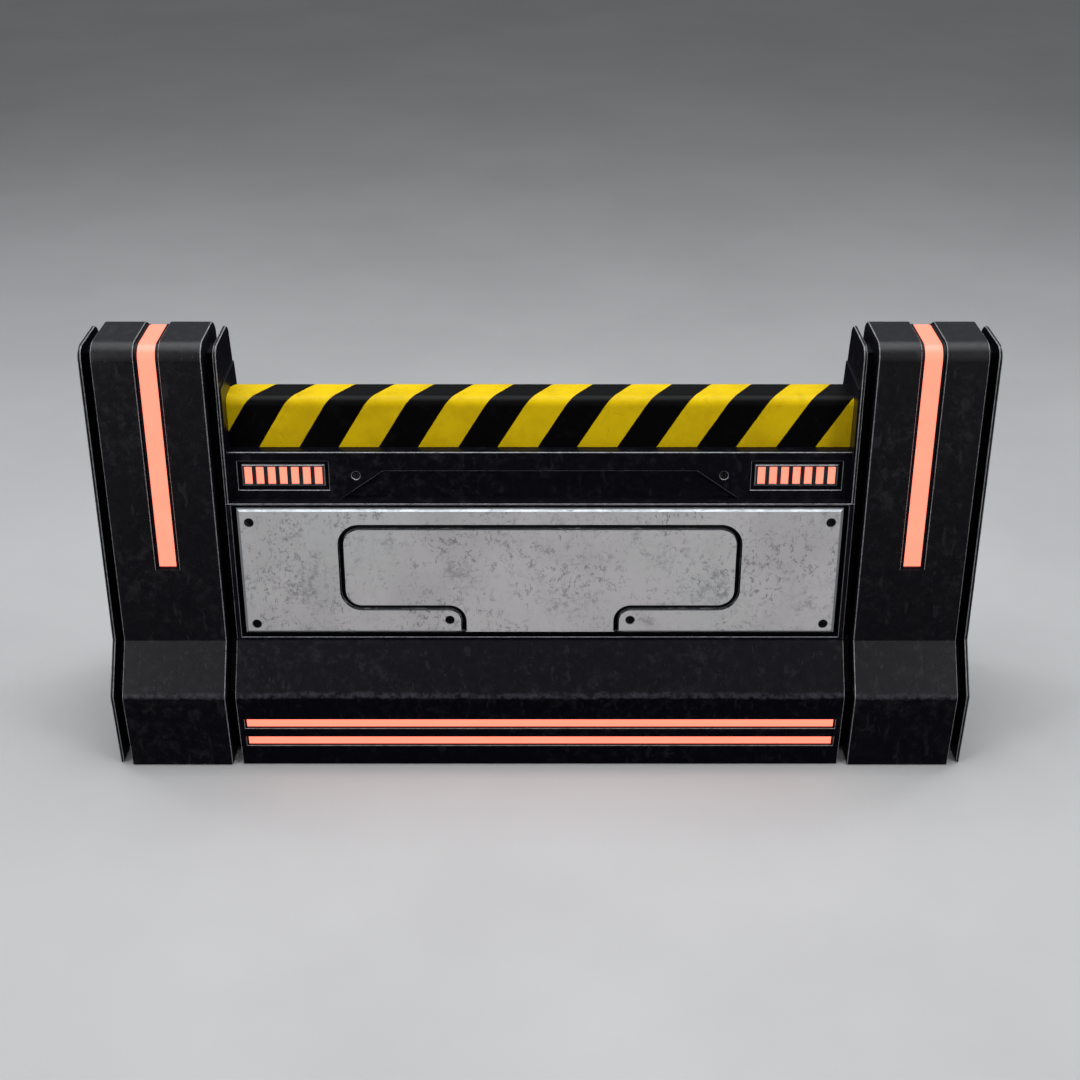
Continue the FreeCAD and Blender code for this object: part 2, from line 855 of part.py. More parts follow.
def make_base_leds(name):
    back = D.base_half_depth - D.cover_inset - D.cover_wall - D.base_tray_depth
    floor = back + D.base_tray_floor
    half, gap = D.base_led_half_length, (D.base_slot_height - D.led_width) / 2
    strips = Piece(name)
    bars = [rectangle(-half, low + gap, half, low + gap + D.led_width) for low in SLOT_LEVELS]
    strips.pad("XZ", -(floor + D.led_thickness), -floor, *bars)
    return strips


# ---------------------------------------------------------------- leaning panels
# These are drawn in a frame that leans back with the face: its origin is on the shoulder
# line, +Y goes into the object, square to the face, and +Z goes up the face.

def level(height, inset):
    """Distance up the leaning face at a true height and an inset."""
    return (height - D.shoulder_height + inset * D.lean_sine) / D.lean_cosine


def lean(member, front):
    tilt = FreeCAD.Rotation(Vector(1, 0, 0), -value_of(D.lean_degrees))
    rotation = tilt if front else TURNED.multiply(tilt)
    sign = -1 if front else 1
    return member.place(rotation, y=sign * D.shoulder_half_depth, z=D.shoulder_height)


SCREW_PLACES = [(side * x, z) for side in (-1, 1) for x, z in (
    (D.outer_screw_x, D.upper_screw_z),
    (D.outer_screw_x, D.lower_screw_z),
    (D.inner_screw_x, D.inner_screw_z))]


def screw_circles(radius):
    return [(x, z, radius) for x, z in SCREW_PLACES]


def make_tray(name):
    """The frame around the armour plate, with a floor behind it and a ledge on top."""
    front, floor = D.tray_inset, D.tray_floor_inset
    back = floor + D.tray_floor
    step = front + D.tray_flange
    inner_length = D.centre_half_length - D.cheek_thickness
    bottom, top = D.tray_bottom_height, D.tray_top_height
    tray = Piece(name)
    tray.pad("YZ", -inner_length, inner_length, [
        (front, level(bottom, front)),
        (front, level(top, front)),
        (D.ledge_inset, level(top, D.ledge_inset)),
        (D.ledge_inset, level(top, D.ledge_inset) - D.ledge_thickness),
        (back, level(top, back) - D.ledge_thickness),
        (back, level(bottom, back)),
    ])
    for low, high in ((-D.centre_half_length, -inner_length),
                      (inner_length, D.centre_half_length)):
        tray.pad("YZ", low, high, [
            (front, level(bottom, front)),
            (front, level(top, front)),
            (step, level(top, step)),
            (step, level(bottom, step)),
        ])
    rim = either(on_plane("x", D.centre_half_length), on_plane("x", -D.centre_half_length),
                 on_plane("z", level(top, front)))
    tray.bevel(D.tray_bevel, both(on_plane("y", front), rim))
    opening = rectangle(-D.tray_opening_half_length, D.tray_opening_low,
                        D.tray_opening_half_length, D.tray_opening_high)
    half = D.tray_opening_half_length + PAST
    tray.cut("XZ", front - PAST, floor, opening)
    tray.bevel(D.tray_opening_bevel, both(
        on_plane("y", front), within("x", -half, half),
        within("z", D.tray_opening_low - PAST, D.tray_opening_high + PAST)))
    tray.cut("XZ", floor - PAST, back + PAST,
             rectangle(-D.bay_half_length, D.bay_low, D.bay_half_length, D.bay_high))
    tray.pad("XZ", front + D.plate_thickness, floor, circles=screw_circles(D.boss_radius))
    tray.cut("XZ", front, back + PAST, circles=screw_circles(D.bolt_radius))
    return tray


def hatch_outline(grow, bottom):
    """The T of the hatch, grown or shrunk about the middle of its gap."""
    convex, concave = D.wing_radius + grow, D.stem_radius - grow
    wing, stem = D.wing_half_length + grow, D.stem_half_length + grow
    low, high = D.wing_low - grow, D.wing_high + grow
    right = [(stem, bottom), (stem, low, concave), (wing, low, convex), (wing, high, convex)]
    left = [(-corner[0],) + tuple(corner[1:]) for corner in reversed(right)]
    return right + left


def make_armor_plate(name):
    front, back = D.tray_inset, D.tray_inset + D.plate_thickness
    half = D.plate_half_length
    plate = Piece(name)
    plate.pad("XZ", front, back, rectangle(-half, D.plate_low, half, D.plate_high))
    plate.bevel(D.plate_bevel, on_plane("y", front))
    plate.cut("XZ", front - PAST, back + PAST,
              hatch_outline(D.hatch_gap / 2, D.plate_low - PAST))
    wing, stem = D.wing_half_length + D.hatch_gap, D.stem_half_length + D.hatch_gap
    around_wings = both(within("x", -wing, wing),
                        within("z", D.wing_low - D.hatch_gap, D.wing_high + D.hatch_gap))
    around_stem = both(within("x", -stem, stem),
                       within("z", D.plate_low + D.plate_bevel, D.wing_low))
    plate.fillet(D.groove_radius, both(on_plane("y", front), either(around_wings, around_stem)))
    plate.cut("XZ", front - PAST, front + D.screw_recess,
              circles=screw_circles(D.screw_counterbore))
    plate.bevel(D.screw_rim, both(
        on_plane("y", front), round_edge,
        lambda edge: edge.Curve.Radius < value_of(D.boss_radius)))
    plate.cut("XZ", front, back + PAST,
              circles=screw_circles(D.bolt_radius + D.hole_clearance))
    start = D.stem_half_length + D.hatch_gap / 2
    for low, high in ((start - PAST, start + D.hinge_pin_in_plate),
                      (-start - D.hinge_pin_in_plate, PAST - start)):
        plate.cut("YZ", low, high, circles=[(HINGE_Y, HINGE_Z, D.hinge_pin_radius)])
    return plate


# Axis of the hatch hinge in the leaning frame: in the middle of the hatch, at its bottom edge.
HINGE_Y = D.tray_inset + D.hatch_thickness / 2
HINGE_Z = D.plate_low + D.hatch_thickness / 2


def make_hatch(name):
    front, back = D.tray_inset, D.tray_inset + D.hatch_thickness
    stem = D.stem_half_length - D.hatch_gap / 2
    hatch = Piece(name)
    hatch.pad("XZ", front, back, hatch_outline(-D.hatch_gap / 2, HINGE_Z))
    hatch.fillet(D.groove_radius, both(
        on_plane("y", front), within("z", HINGE_Z + NEAR, D.wing_high)))
    barrel = D.hatch_thickness / 2 - D.hinge_barrel_setback
    hatch.pad("YZ", -stem, stem, circles=[(HINGE_Y, HINGE_Z, barrel)])
    bore = D.hinge_pin_radius + D.hinge_clearance
    depth = D.hinge_pin_in_hatch + D.hinge_bore_past
    for low, high in ((stem - depth, stem + PAST), (-stem - PAST, depth - stem)):
        hatch.cut("YZ", low, high, circles=[(HINGE_Y, HINGE_Z, bore)])
    return hatch


def make_hinge_pins(name):
    start = D.stem_half_length + D.hatch_gap / 2 + D.hinge_pin_in_plate
    stop = D.stem_half_length - D.hatch_gap / 2 - D.hinge_pin_in_hatch
    pins = Piece(name)
    circle = [(HINGE_Y, HINGE_Z, D.hinge_pin_radius)]
    pins.pad("YZ", stop, start, circles=circle)
    pins.pad("YZ", -start, -stop, circles=circle)
    return pins


def make_seal(name):
    """Rubber strip behind the gap, stuck to the back of the armour plate."""
    front = D.tray_inset + D.plate_thickness
    bottom = HINGE_Z + D.seal_start
    seal = Piece(name)
    seal.pad("XZ", front, front + D.seal_thickness, hatch_outline(D.seal_outside, bottom))
    seal.cut("XZ", front - PAST, front + D.seal_thickness + PAST,
             hatch_outline(-D.seal_inside, bottom - PAST))
    return seal


def make_catches(name):
    """Magnetic catches on the tray floor, just behind the hatch's wings."""
    catches = Piece(name)
    blocks = [rectangle(near, D.catch_low, far, D.catch_high) for near, far in (
        (-D.catch_far_x, -D.catch_near_x), (D.catch_near_x, D.catch_far_x))]
    catches.pad("XZ", D.tray_inset + D.hatch_thickness + D.catch_gap, D.tray_floor_inset, *blocks)
    return catches


def hexagon(x, z, across):
    radius = across / math.sqrt(3)
    return [(x + radius * math.cos(math.radians(60 * k)),
             z + radius * math.sin(math.radians(60 * k))) for k in range(6)]


def make_plate_screws(name):
    head_low = D.tray_inset + D.screw_head_top
    head_high = D.tray_inset + D.screw_recess
    screws = Piece(name)
    screws.pad("XZ", head_low, head_high, circles=screw_circles(D.screw_head_radius))
    screws.pad("XZ", head_high, D.tray_floor_inset + D.screw_in_floor,
               circles=screw_circles(D.bolt_radius))
    screws.cut("XZ", head_low - PAST, head_low + D.screw_hexagon_depth,
               *[hexagon(x, z, D.screw_hexagon) for x, z in SCREW_PLACES])
    return screws


# ---------------------------------------------------------------- fascia, signals and locks

def make_fascia(name):
    front, back = D.fascia_inset, D.fascia_inset + D.fascia_wall
    top = D.fascia_top_height
    under = top - D.fascia_flange
    bottom = D.tray_top_height + D.fascia_gap
    fascia = Piece(name)
    fascia.pad("YZ", -D.fascia_half_length, D.fascia_half_length, [
        (front, level(bottom, front)),
        (front, level(top, front)),
        upright(D.fascia_flange_edge, top),
        upright(D.fascia_flange_edge, under),
        (back, level(under, back)),
        (back, level(bottom, back)),
    ])
    brow = level(top, front)
    fascia.bevel(D.fascia_bevel, both(on_plane("y", front), on_plane("z", brow)))
    run_down = level(bottom, front) - PAST
    foot = D.pocket_half_length + (D.pocket_top - run_down) * D.pocket_run
    fascia.cut("XZ", front - PAST, front + D.pocket_depth, [
        (-foot, run_down), (foot, run_down),
        (D.pocket_half_length, D.pocket_top), (-D.pocket_half_length, D.pocket_top)])
    for near, far in ((D.signal_near_x, D.signal_far_x), (-D.signal_far_x, -D.signal_near_x)):
        fascia.cut("XZ", front - PAST, front + D.signal_depth,
                   rectangle(near, D.signal_low, far, D.signal_high))
    fascia.cut("XZ", front - PAST, back + PAST, circles=[
        (sign * D.lock_x, D.lock_z, D.lock_bore_radius) for sign in (-1, 1)])
    fascia.bevel(D.lock_ring, both(on_plane("y", front), round_edge))
    foot_z = level(bottom, front)
    fascia.bevel(D.pocket_bevel, both(
        on_plane("y", front),
        within("x", -D.signal_far_x - PAST, D.signal_far_x + PAST),
        within("z", foot_z - NEAR, D.signal_high + PAST),
        lambda edge: not round_edge(edge) and not on_plane("z", foot_z)(edge)))
    return fascia


def upright(distance, height):
    """A point in the leaning frame, from its true distance to the middle and true height."""
    rise = height - D.shoulder_height
    into = D.shoulder_half_depth - distance
    return (into * D.lean_cosine - rise * D.lean_sine,
            into * D.lean_sine + rise * D.lean_cosine)


LENS_COUNT = 7            # small signal lenses in each window


def lens_centres():
    return [sign * (D.signal_lens_first + k * D.signal_lens_pitch)
            for sign in (-1, 1) for k in range(LENS_COUNT)]


def lens_outline(centre, grow):
    half = D.signal_lens_width / 2 + grow
    return rectangle(centre - half, D.signal_lens_low - grow,
                     centre + half, D.signal_lens_high + grow)


def signal_floor():
    return D.fascia_inset + D.signal_depth


def make_bezels(name):
    front = D.fascia_inset + D.bezel_setback
    back = signal_floor() - D.board_thickness
    bezels = Piece(name)
    bezels.pad("XZ", front, back, *[
        rectangle(near, D.bezel_low, far, D.bezel_high) for near, far in (
            (D.bezel_near_x, D.bezel_far_x), (-D.bezel_far_x, -D.bezel_near_x))])
    bezels.bevel(D.bezel_bevel, on_plane("y", front))
    bezels.cut("XZ", front - PAST, back + PAST,
               *[lens_outline(x, D.signal_lens_gap) for x in lens_centres()])
    bezels.bevel(D.signal_window_bevel, both(
        on_plane("y", front),
        within("z", D.signal_lens_low - PAST, D.signal_lens_high + PAST)))
    return bezels


def make_signal_lenses(name):
    front = D.fascia_inset + D.signal_lens_setback
    lenses = Piece(name)
    lenses.pad("XZ", front, signal_floor() - D.board_thickness,
               *[lens_outline(x, 0) for x in lens_centres()])
    lenses.bevel(D.signal_lens_bevel, on_plane("y", front))
    return lenses


def make_signal_boards(name):
    boards = Piece(name)
    boards.pad("XZ", signal_floor() - D.board_thickness, signal_floor(), *[
        rectangle(near, D.bezel_low, far, D.bezel_high) for near, far in (
            (D.bezel_near_x, D.bezel_far_x), (-D.bezel_far_x, -D.bezel_near_x))])
    return boards


def make_lock(name, sign):
    """Quarter-turn lock: a barrel with a key slot and a tongue at its inner end."""
    x = sign * D.lock_x
    front = D.fascia_inset + D.lock_setback
    end = D.lock_end_inset
    tip = x + sign * D.tongue_reach
    lock = Piece(name)
    lock.pad("XZ", front, end, circles=[(x, D.lock_z, D.lock_radius)])
    lock.bevel(D.lock_bevel, on_plane("y", front))
    half = D.tongue_half_width
    near, far = (x, tip) if sign > 0 else (tip, x)
    lock.pad("XZ", end - D.tongue_thickness, end,
             rectangle(near, D.lock_z - half, far, D.lock_z + half))
    lock.cut("XZ", front - PAST, front + D.key_slot_depth, rectangle(
        x - D.key_slot_half_width, D.lock_z - D.key_slot_half_height,
        x + D.key_slot_half_width, D.lock_z + D.key_slot_half_height))
    return lock


def make_keepers(name):
    """Brackets on the posts that the lock tongues turn behind."""
    front, behind = D.keeper_front_inset, D.keeper_front_inset + D.keeper_plate
    low, high = D.lock_z - D.keeper_half_height, D.lock_z + D.keeper_half_height
    half_post = D.post_size / 2

    def post_face(z):
        return (D.shoulder_half_depth - half_post - z * D.lean_sine) / D.lean_cosine

    keepers = Piece(name)
    for sign in (-1, 1):
        near, block, far = (sign * x for x in (
            D.keeper_near_x, D.keeper_block_x, D.keeper_far_x))
        spans = [(near, far), (block, far)] if sign > 0 else [(far, near), (far, block)]
        keepers.pad("YZ", *spans[0], [(front, low), (behind, low), (behind, high),
                                      (front, high)])
        keepers.pad("YZ", *spans[1], [(behind, low), (post_face(low), low),
                                      (post_face(high), high), (behind, high)])
    return keepers


def make_side(side, front):
    rotation = STRAIGHT if front else TURNED
    for member in (make_base_cover(f"{side}_base_cover"),
                   make_base_light_tray(f"{side}_base_light_tray")):
        member.place(rotation).keep()
    for member in (make_tray(f"{side}_tray"),
                   make_armor_plate(f"{side}_armor_plate"),
                   make_hatch(f"{side}_hatch"),
                   make_seal(f"{side}_hatch_seal"),
                   make_fascia(f"{side}_fascia"),
                   make_lock(f"{side}_left_lock", -1 if front else 1),
                   make_lock(f"{side}_right_lock", 1 if front else -1)):
        lean(member, front).keep()
    return {
        "base_lenses": make_base_lenses(f"{side}_base_lens_pair").place(rotation),
        "base_led_strips": make_base_leds(f"{side}_base_led_pair").place(rotation),
        "hinge_pins": lean(make_hinge_pins(f"{side}_hinge_pin_pair"), front),
        "hatch_catches": lean(make_catches(f"{side}_catch_pair"), front),
        "plate_screws": lean(make_plate_screws(f"{side}_screw_set"), front),
        "signal_bezels": lean(make_bezels(f"{side}_bezel_pair"), front),
        "signal_lenses": lean(make_signal_lenses(f"{side}_lens_set"), front),
        "signal_boards": lean(make_signal_boards(f"{side}_board_pair"), front),
        "lock_keepers": lean(make_keepers(f"{side}_keeper_pair"), front),
    }


# ---------------------------------------------------------------- crash beam and inner frame

def make_beam(name):
    low, high, wall = D.fascia_top_height + D.beam_seat, D.beam_top_height, D.beam_wall

    def section(shrink):
        return mirror_outline([
            (-(D.beam_low_half_depth - shrink), low + shrink),
            (-(D.beam_high_half_depth - shrink), high - shrink, D.beam_radius - shrink)])

    half = D.fascia_half_length
    beam = Piece(name)
    beam.pad("YZ", -half, half, section(0))
    beam.cut("YZ", -half - PAST, half + PAST, section(wall))
    return beam


def make_beam_flange(name, sign):
    """Plate on the inner cheek that the beam's end is welded to."""
    near, far = D.fascia_half_length, D.centre_half_length - D.cheek_thickness
    low, high = (near, far) if sign > 0 else (-far, -near)
    bottom, top = D.flange_low_height, D.flange_high_height
    flange = Piece(name)
    flange.pad("YZ", low, high, mirror_outline([
        (-face_y(bottom, D.flange_inset), bottom), (-face_y(top, D.flange_inset), top)]))
    flange.bevel(D.flange_bevel, both(
        on_plane("x", sign * near), within("z", bottom + NEAR, top + PAST)))
    return flange


def make_rails(name):
    low, size, wall = D.rail_low, D.rail_size, D.tube_wall
    half_length = D.centre_half_length - D.cheek_thickness
    rails = Piece(name)
    starts = [y - size / 2 for y in (-D.rail_y, D.rail_y)]
    rails.pad("YZ", -half_length, half_length,
              *[rectangle(y, low, y + size, low + size) for y in starts])
    rails.cut("YZ", -half_length - PAST, half_length + PAST,
              *[rectangle(y + wall, low + wall, y + size - wall, low + size - wall)
                for y in starts])
    return rails


def make_sills(name):
    low = D.rail_low + D.rail_size
    sills = Piece(name)
    sills.pad("XY", low, low + D.sill_thickness, *[
        rectangle(x - D.sill_half_width, -D.sill_half_depth,
                  x + D.sill_half_width, D.sill_half_depth) for x in (-D.post_x, D.post_x)])
    return sills


def make_posts(name):
    low = D.rail_low + D.rail_size + D.sill_thickness
    high = D.fascia_top_height - D.fascia_flange
    half, wall = D.post_size / 2, D.tube_wall
    posts = Piece(name)
    posts.pad("XY", low, high, *[
        rectangle(x - half, -half, x + half, half) for x in (-D.post_x, D.post_x)])
    posts.cut("XY", low - PAST, high + PAST, *[
        rectangle(x - half + wall, wall - half, x + half - wall, half - wall)
        for x in (-D.post_x, D.post_x)])
    return posts


def make_shelf(name):
    half_length = D.post_x - D.post_size / 2
    low = D.shelf_height
    shelf = Piece(name)
    shelf.pad("XY", low, low + D.shelf_thickness,
              rectangle(-half_length, -D.shelf_half_depth, half_length, D.shelf_half_depth))
    return shelf


def make_battery(name):
    low = D.shelf_height + D.shelf_thickness
    high = low + D.battery_height
    depth = D.battery_half_depth
    battery = Piece(name)
    battery.pad("XY", low, high, rectangle(D.battery_near, -depth, D.battery_far, depth))
    battery.fillet(D.battery_corner, upright_edge)
    middle, reach = (D.battery_near + D.battery_far) / 2, D.handle_half_length
    handle = rectangle(middle - reach, low + D.handle_low, middle + reach, low + D.handle_high)
    for face, back in ((-depth - PAST, D.handle_depth - depth),
                       (depth - D.handle_depth, depth + PAST)):
        battery.cut("XZ", face, back, handle)
    return battery


def make_control_box(name):
    low = D.shelf_height + D.shelf_thickness
    depth, inset = D.box_half_depth, D.box_lid_inset
    box = Piece(name)
    box.pad("XY", low, low + D.box_height, rectangle(D.box_near, -depth, D.box_far, depth))
    box.fillet(D.box_corner, upright_edge)
    box.pad("XY", low + D.box_height, low + D.box_height + D.box_lid,
            rectangle(D.box_near + inset, inset - depth, D.box_far - inset, depth - inset))
    return box


# ---------------------------------------------------------------- assembly

group("foot_pads", [make_pillar("left", -1), make_pillar("right", 1)])

front_sets = make_side("front", True)
rear_sets = make_side("rear", False)
for set_name in front_sets:
    group(set_name, [front_sets[set_name], rear_sets[set_name]])

make_beam("crash_beam").keep()
group("beam_flanges", [make_beam_flange("left_flange", -1),
                       make_beam_flange("right_flange", 1)])
make_rails("base_rails").keep()
make_sills("cross_sills").keep()
make_posts("centre_posts").keep()
make_shelf("battery_shelf").keep()
make_battery("battery_pack").keep()
make_control_box("control_box").keep()

doc.recompute()

for item in doc.Objects:
    if "Invalid" in item.State or "Error" in item.State:
        raise RuntimeError(f"{item.Label} failed: {item.State}")
for item in kept:
    if item.Shape.isNull() or not item.Shape.isValid() or item.Shape.Volume <= 0:
        raise RuntimeError(f"{item.Label} has no valid shape")

os.makedirs("parts", exist_ok=True)
for item in kept:
    item.Shape.exportStep(f"parts/{item.Label}.step")
box = Part.makeCompound([item.Shape for item in kept]).BoundBox
print(len(kept), "sub-parts,", sum(len(item.Shape.Solids) for item in kept), "solids")
print("size", [round(length, 1) for length in (box.XLength, box.YLength, box.ZLength)])
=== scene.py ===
import math

import bpy
import numpy as np
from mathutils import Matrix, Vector


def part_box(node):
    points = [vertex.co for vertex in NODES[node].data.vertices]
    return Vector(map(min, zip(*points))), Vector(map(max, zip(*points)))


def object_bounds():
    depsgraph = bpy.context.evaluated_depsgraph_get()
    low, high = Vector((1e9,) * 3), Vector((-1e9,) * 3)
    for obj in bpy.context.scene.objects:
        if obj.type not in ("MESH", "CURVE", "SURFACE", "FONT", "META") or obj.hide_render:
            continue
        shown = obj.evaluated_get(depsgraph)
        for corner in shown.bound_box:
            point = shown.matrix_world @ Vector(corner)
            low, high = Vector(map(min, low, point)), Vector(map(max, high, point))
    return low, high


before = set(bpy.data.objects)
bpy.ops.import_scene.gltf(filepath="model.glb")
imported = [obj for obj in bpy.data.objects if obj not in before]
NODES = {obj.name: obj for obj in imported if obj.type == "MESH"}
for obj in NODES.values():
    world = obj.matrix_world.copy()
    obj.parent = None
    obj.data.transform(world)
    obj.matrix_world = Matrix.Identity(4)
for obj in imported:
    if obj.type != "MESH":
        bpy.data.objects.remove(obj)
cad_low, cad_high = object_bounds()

# Looks of the modular security barricade.  Metres, in the frame of the CAD model: +Z up,
# X along the barricade, the front towards -Y.  Every CAD node keeps its shape and gets
# procedural materials here; narrow edges and bevels get a material slot of their own, the
# edges a lighter colour that is partly rubbed paint and partly a painted highlight, and the
# rounded edges in the gap round each hatch a near-black painted shade.


# ---------------------------------------------------------------- camera

CAMERA_DISTANCE = 3.181      # in front of the middle of the barricade
CAMERA_HEIGHT = 2.314
CAMERA_DIP = 29.8            # degrees below the horizon
FOCAL_LENGTH = 50            # millimetres, on a sensor of the width below
SENSOR_WIDTH = 36
FLOOR_HALF = 400.0           # half the side of the square floor, which runs out of sight


def make_camera():
    data = bpy.data.cameras.new("camera")
    data.sensor_width = SENSOR_WIDTH
    data.lens = FOCAL_LENGTH
    data.clip_end = 2 * FLOOR_HALF
    camera = bpy.data.objects.new("camera", data)
    camera.location = (0, -CAMERA_DISTANCE, CAMERA_HEIGHT)
    camera.rotation_euler = (math.radians(90 - CAMERA_DIP), 0, 0)
    bpy.context.scene.collection.objects.link(camera)
    bpy.context.scene.camera = camera


# ---------------------------------------------------------------- node graphs

def rgba(colour):
    """A colour of three parts as the four that a socket takes; anything else as it is."""
    return (*colour, 1.0) if isinstance(colour, tuple) and len(colour) == 3 else colour


class Graph:
    """The nodes of one material, with short calls for the steps that repeat."""

    def __init__(self, name):
        self.material = bpy.data.materials.new(name)
        self.material.use_nodes = True
        self.tree = self.material.node_tree
        self.tree.nodes.clear()
        self.place = self.node("ShaderNodeTexCoord").outputs["Object"]

    def node(self, kind, **settings):
        made = self.tree.nodes.new(kind)
        for name, value in settings.items():
            setattr(made, name, value)
        return made

    def feed(self, socket, value):
        if isinstance(value, bpy.types.NodeSocket):
            self.tree.links.new(value, socket)
        elif value is not None:
            socket.default_value = value

    def math(self, operation, first, second=None, third=None):
        made = self.node("ShaderNodeMath", operation=operation)
        for socket, value in zip(made.inputs, (first, second, third)):
            self.feed(socket, value)
        return made.outputs[0]

    def vector(self, operation, first, second=None):
        made = self.node("ShaderNodeVectorMath", operation=operation)
        for socket, value in zip(made.inputs, (first, second)):
            self.feed(socket, value)
        return made.outputs["Value" if operation == "DOT_PRODUCT" else "Vector"]

    def add(self, first, second):
        return self.math("ADD", first, second)

    def minus(self, first, second):
        return self.math("SUBTRACT", first, second)

    def times(self, first, second):
        return self.math("MULTIPLY", first, second)

    def largest(self, *values):
        result = values[0]
        for value in values[1:]:
            result = self.math("MAXIMUM", result, value)
        return result

    def axes(self):
        """The object coordinates one by one: x, y and z."""
        made = self.node("ShaderNodeSeparateXYZ")
        self.feed(made.inputs[0], self.place)
        return made.outputs

    def stretched(self, scale, turn=(0, 0, 0), shift=(0, 0, 0)):
        """The object coordinates, turned, shifted and scaled by a different amount each way."""
        made = self.node("ShaderNodeMapping")
        self.feed(made.inputs["Vector"], self.place)
        made.inputs["Location"].default_value = shift
        made.inputs["Rotation"].default_value = [math.radians(angle) for angle in turn]
        made.inputs["Scale"].default_value = scale
        return made.outputs[0]

    def noise(self, scale, detail=3, roughness=0.5, vector=None):
        made = self.node("ShaderNodeTexNoise")
        self.feed(made.inputs["Vector"], vector or self.place)
        made.inputs["Scale"].default_value = scale
        made.inputs["Detail"].default_value = detail
        made.inputs["Roughness"].default_value = roughness
        return made.outputs[0]

    def bent(self, vector, scale, amount):
        """Coordinates pushed about by noise, so that straight patterns wander."""
        noise = self.node("ShaderNodeTexNoise")
        self.feed(noise.inputs["Vector"], vector)
        noise.inputs["Scale"].default_value = scale
        noise.inputs["Detail"].default_value = 2
        made = self.node("ShaderNodeVectorMath", operation="MULTIPLY_ADD")
        self.feed(made.inputs[0], noise.outputs["Color"])
        made.inputs[1].default_value = (amount, amount, amount)
        self.feed(made.inputs[2], vector)
        return made.outputs[0]

    def ramp(self, value, start, end, low=0.0, high=1.0):
        """Smooth step from low at start to high at end."""
        made = self.node("ShaderNodeMapRange", interpolation_type="SMOOTHSTEP")
        for socket, amount in zip(made.inputs, (value, start, end, low, high)):
            self.feed(socket, amount)
        return made.outputs[0]

    def blend(self, factor, first, second):
        """Mix two colours, or two numbers: all first at factor 0, all second at 1."""
        given = isinstance(first, tuple) or isinstance(second, tuple)
        colours = given or getattr(first, "type", "") == "RGBA"
        made = self.node("ShaderNodeMix", data_type="RGBA" if colours else "FLOAT")
        kind = "Color" if colours else "Float"
        first_socket, second_socket = [
            socket for socket in made.inputs
            if socket.name in ("A", "B") and socket.identifier.endswith(kind)]
        self.feed(made.inputs[0], factor)
        self.feed(first_socket, rgba(first))
        self.feed(second_socket, rgba(second))
        return [output for output in made.outputs if output.enabled][0]

    def scratches(self, scale, width, seed, kept=1.0):
        """Short thin scratches, one to a cell, each turned its own way and cut off by its
        cell.  kept is the share of the cells that show one, many of them faintly."""
        moved = self.stretched((1, 1, 1), turn=(seed, 2 * seed, 3 * seed), shift=(seed, seed, 0))
        moved = self.bent(moved, scale * 0.7, 0.35 / scale)
        cells = self.node("ShaderNodeTexVoronoi")
        self.feed(cells.inputs["Vector"], moved)
        cells.inputs["Scale"].default_value = scale
        local = self.vector("SUBTRACT", moved, cells.outputs["Position"])
        across = self.vector("NORMALIZE", self.vector("SUBTRACT", cells.outputs["Color"],
                                                      (0.5, 0.5, 0.5)))
        offset = self.math("ABSOLUTE", self.vector("DOT_PRODUCT", local, across))
        draw = self.node("ShaderNodeSeparateXYZ")
        self.feed(draw.inputs[0], cells.outputs["Color"])
        line = self.times(self.ramp(offset, width, 0),
                          self.ramp(cells.outputs["Distance"], 0.62, 0.3))
        shown = self.ramp(draw.outputs[0], 1 - kept, 1.5 - kept)
        return self.times(line, shown)

    def streaks(self, scale, across, along, turn, kept, seed):
        """Soft rub marks, longer one way where along is less than across."""
        moved = self.stretched((across, across, along), turn=turn, shift=(seed, 0, seed))
        return self.ramp(self.noise(scale, 2, 0.6, vector=moved), 1 - kept, 1.08 - kept)

    def occlusion_shade(self, distance):
        """Painted shade from ambient occlusion: 1 deep in corners and gaps, 0 on open faces."""
        made = self.node("ShaderNodeAmbientOcclusion", samples=6, only_local=False)
        made.inputs["Distance"].default_value = distance
        return self.ramp(made.outputs["AO"], 0.85, 0.35)

    def finish(self, colour, roughness, height, depth, metallic=0.0, specular=0.5,
               emission=None, strength=0.0):
        """Join the parts of the look to one shader and hand back the material.  height is
        the relief, and depth is how many metres a relief of 1 stands for."""
        shader = self.node("ShaderNodeBsdfPrincipled")
        self.feed(shader.inputs["Base Color"], rgba(colour))
        self.feed(shader.inputs["Roughness"], roughness)
        self.feed(shader.inputs["Metallic"], metallic)
        shader.inputs["Specular IOR Level"].default_value = specular
        if emission is not None:
            self.feed(shader.inputs["Emission Color"], rgba(emission))
            self.feed(shader.inputs["Emission Strength"], strength)
        bump = self.node("ShaderNodeBump")
        bump.inputs["Distance"].default_value = depth
        self.feed(bump.inputs["Height"], height)
        self.feed(shader.inputs["Normal"], bump.outputs[0])
        output = self.node("ShaderNodeOutputMaterial")
        self.feed(output.inputs[0], shader.outputs[0])
        return self.material


# ---------------------------------------------------------------- materials

INK = (0.0011, 0.0010, 0.0026)         # black paint where it is sound
DUST = (0.032, 0.033, 0.042)           # the same where it is rubbed
EDGE_PAINT = (0.020, 0.020, 0.024)     # what is left of the paint on an edge
# Lighter steel of the edges, standing partly for paint rubbed through and partly for a painted
# highlight
HIGHLIT_BARE_STEEL = (0.22, 0.225, 0.235)
DULL_HIGHLIT_STEEL = (0.17, 0.175, 0.19)


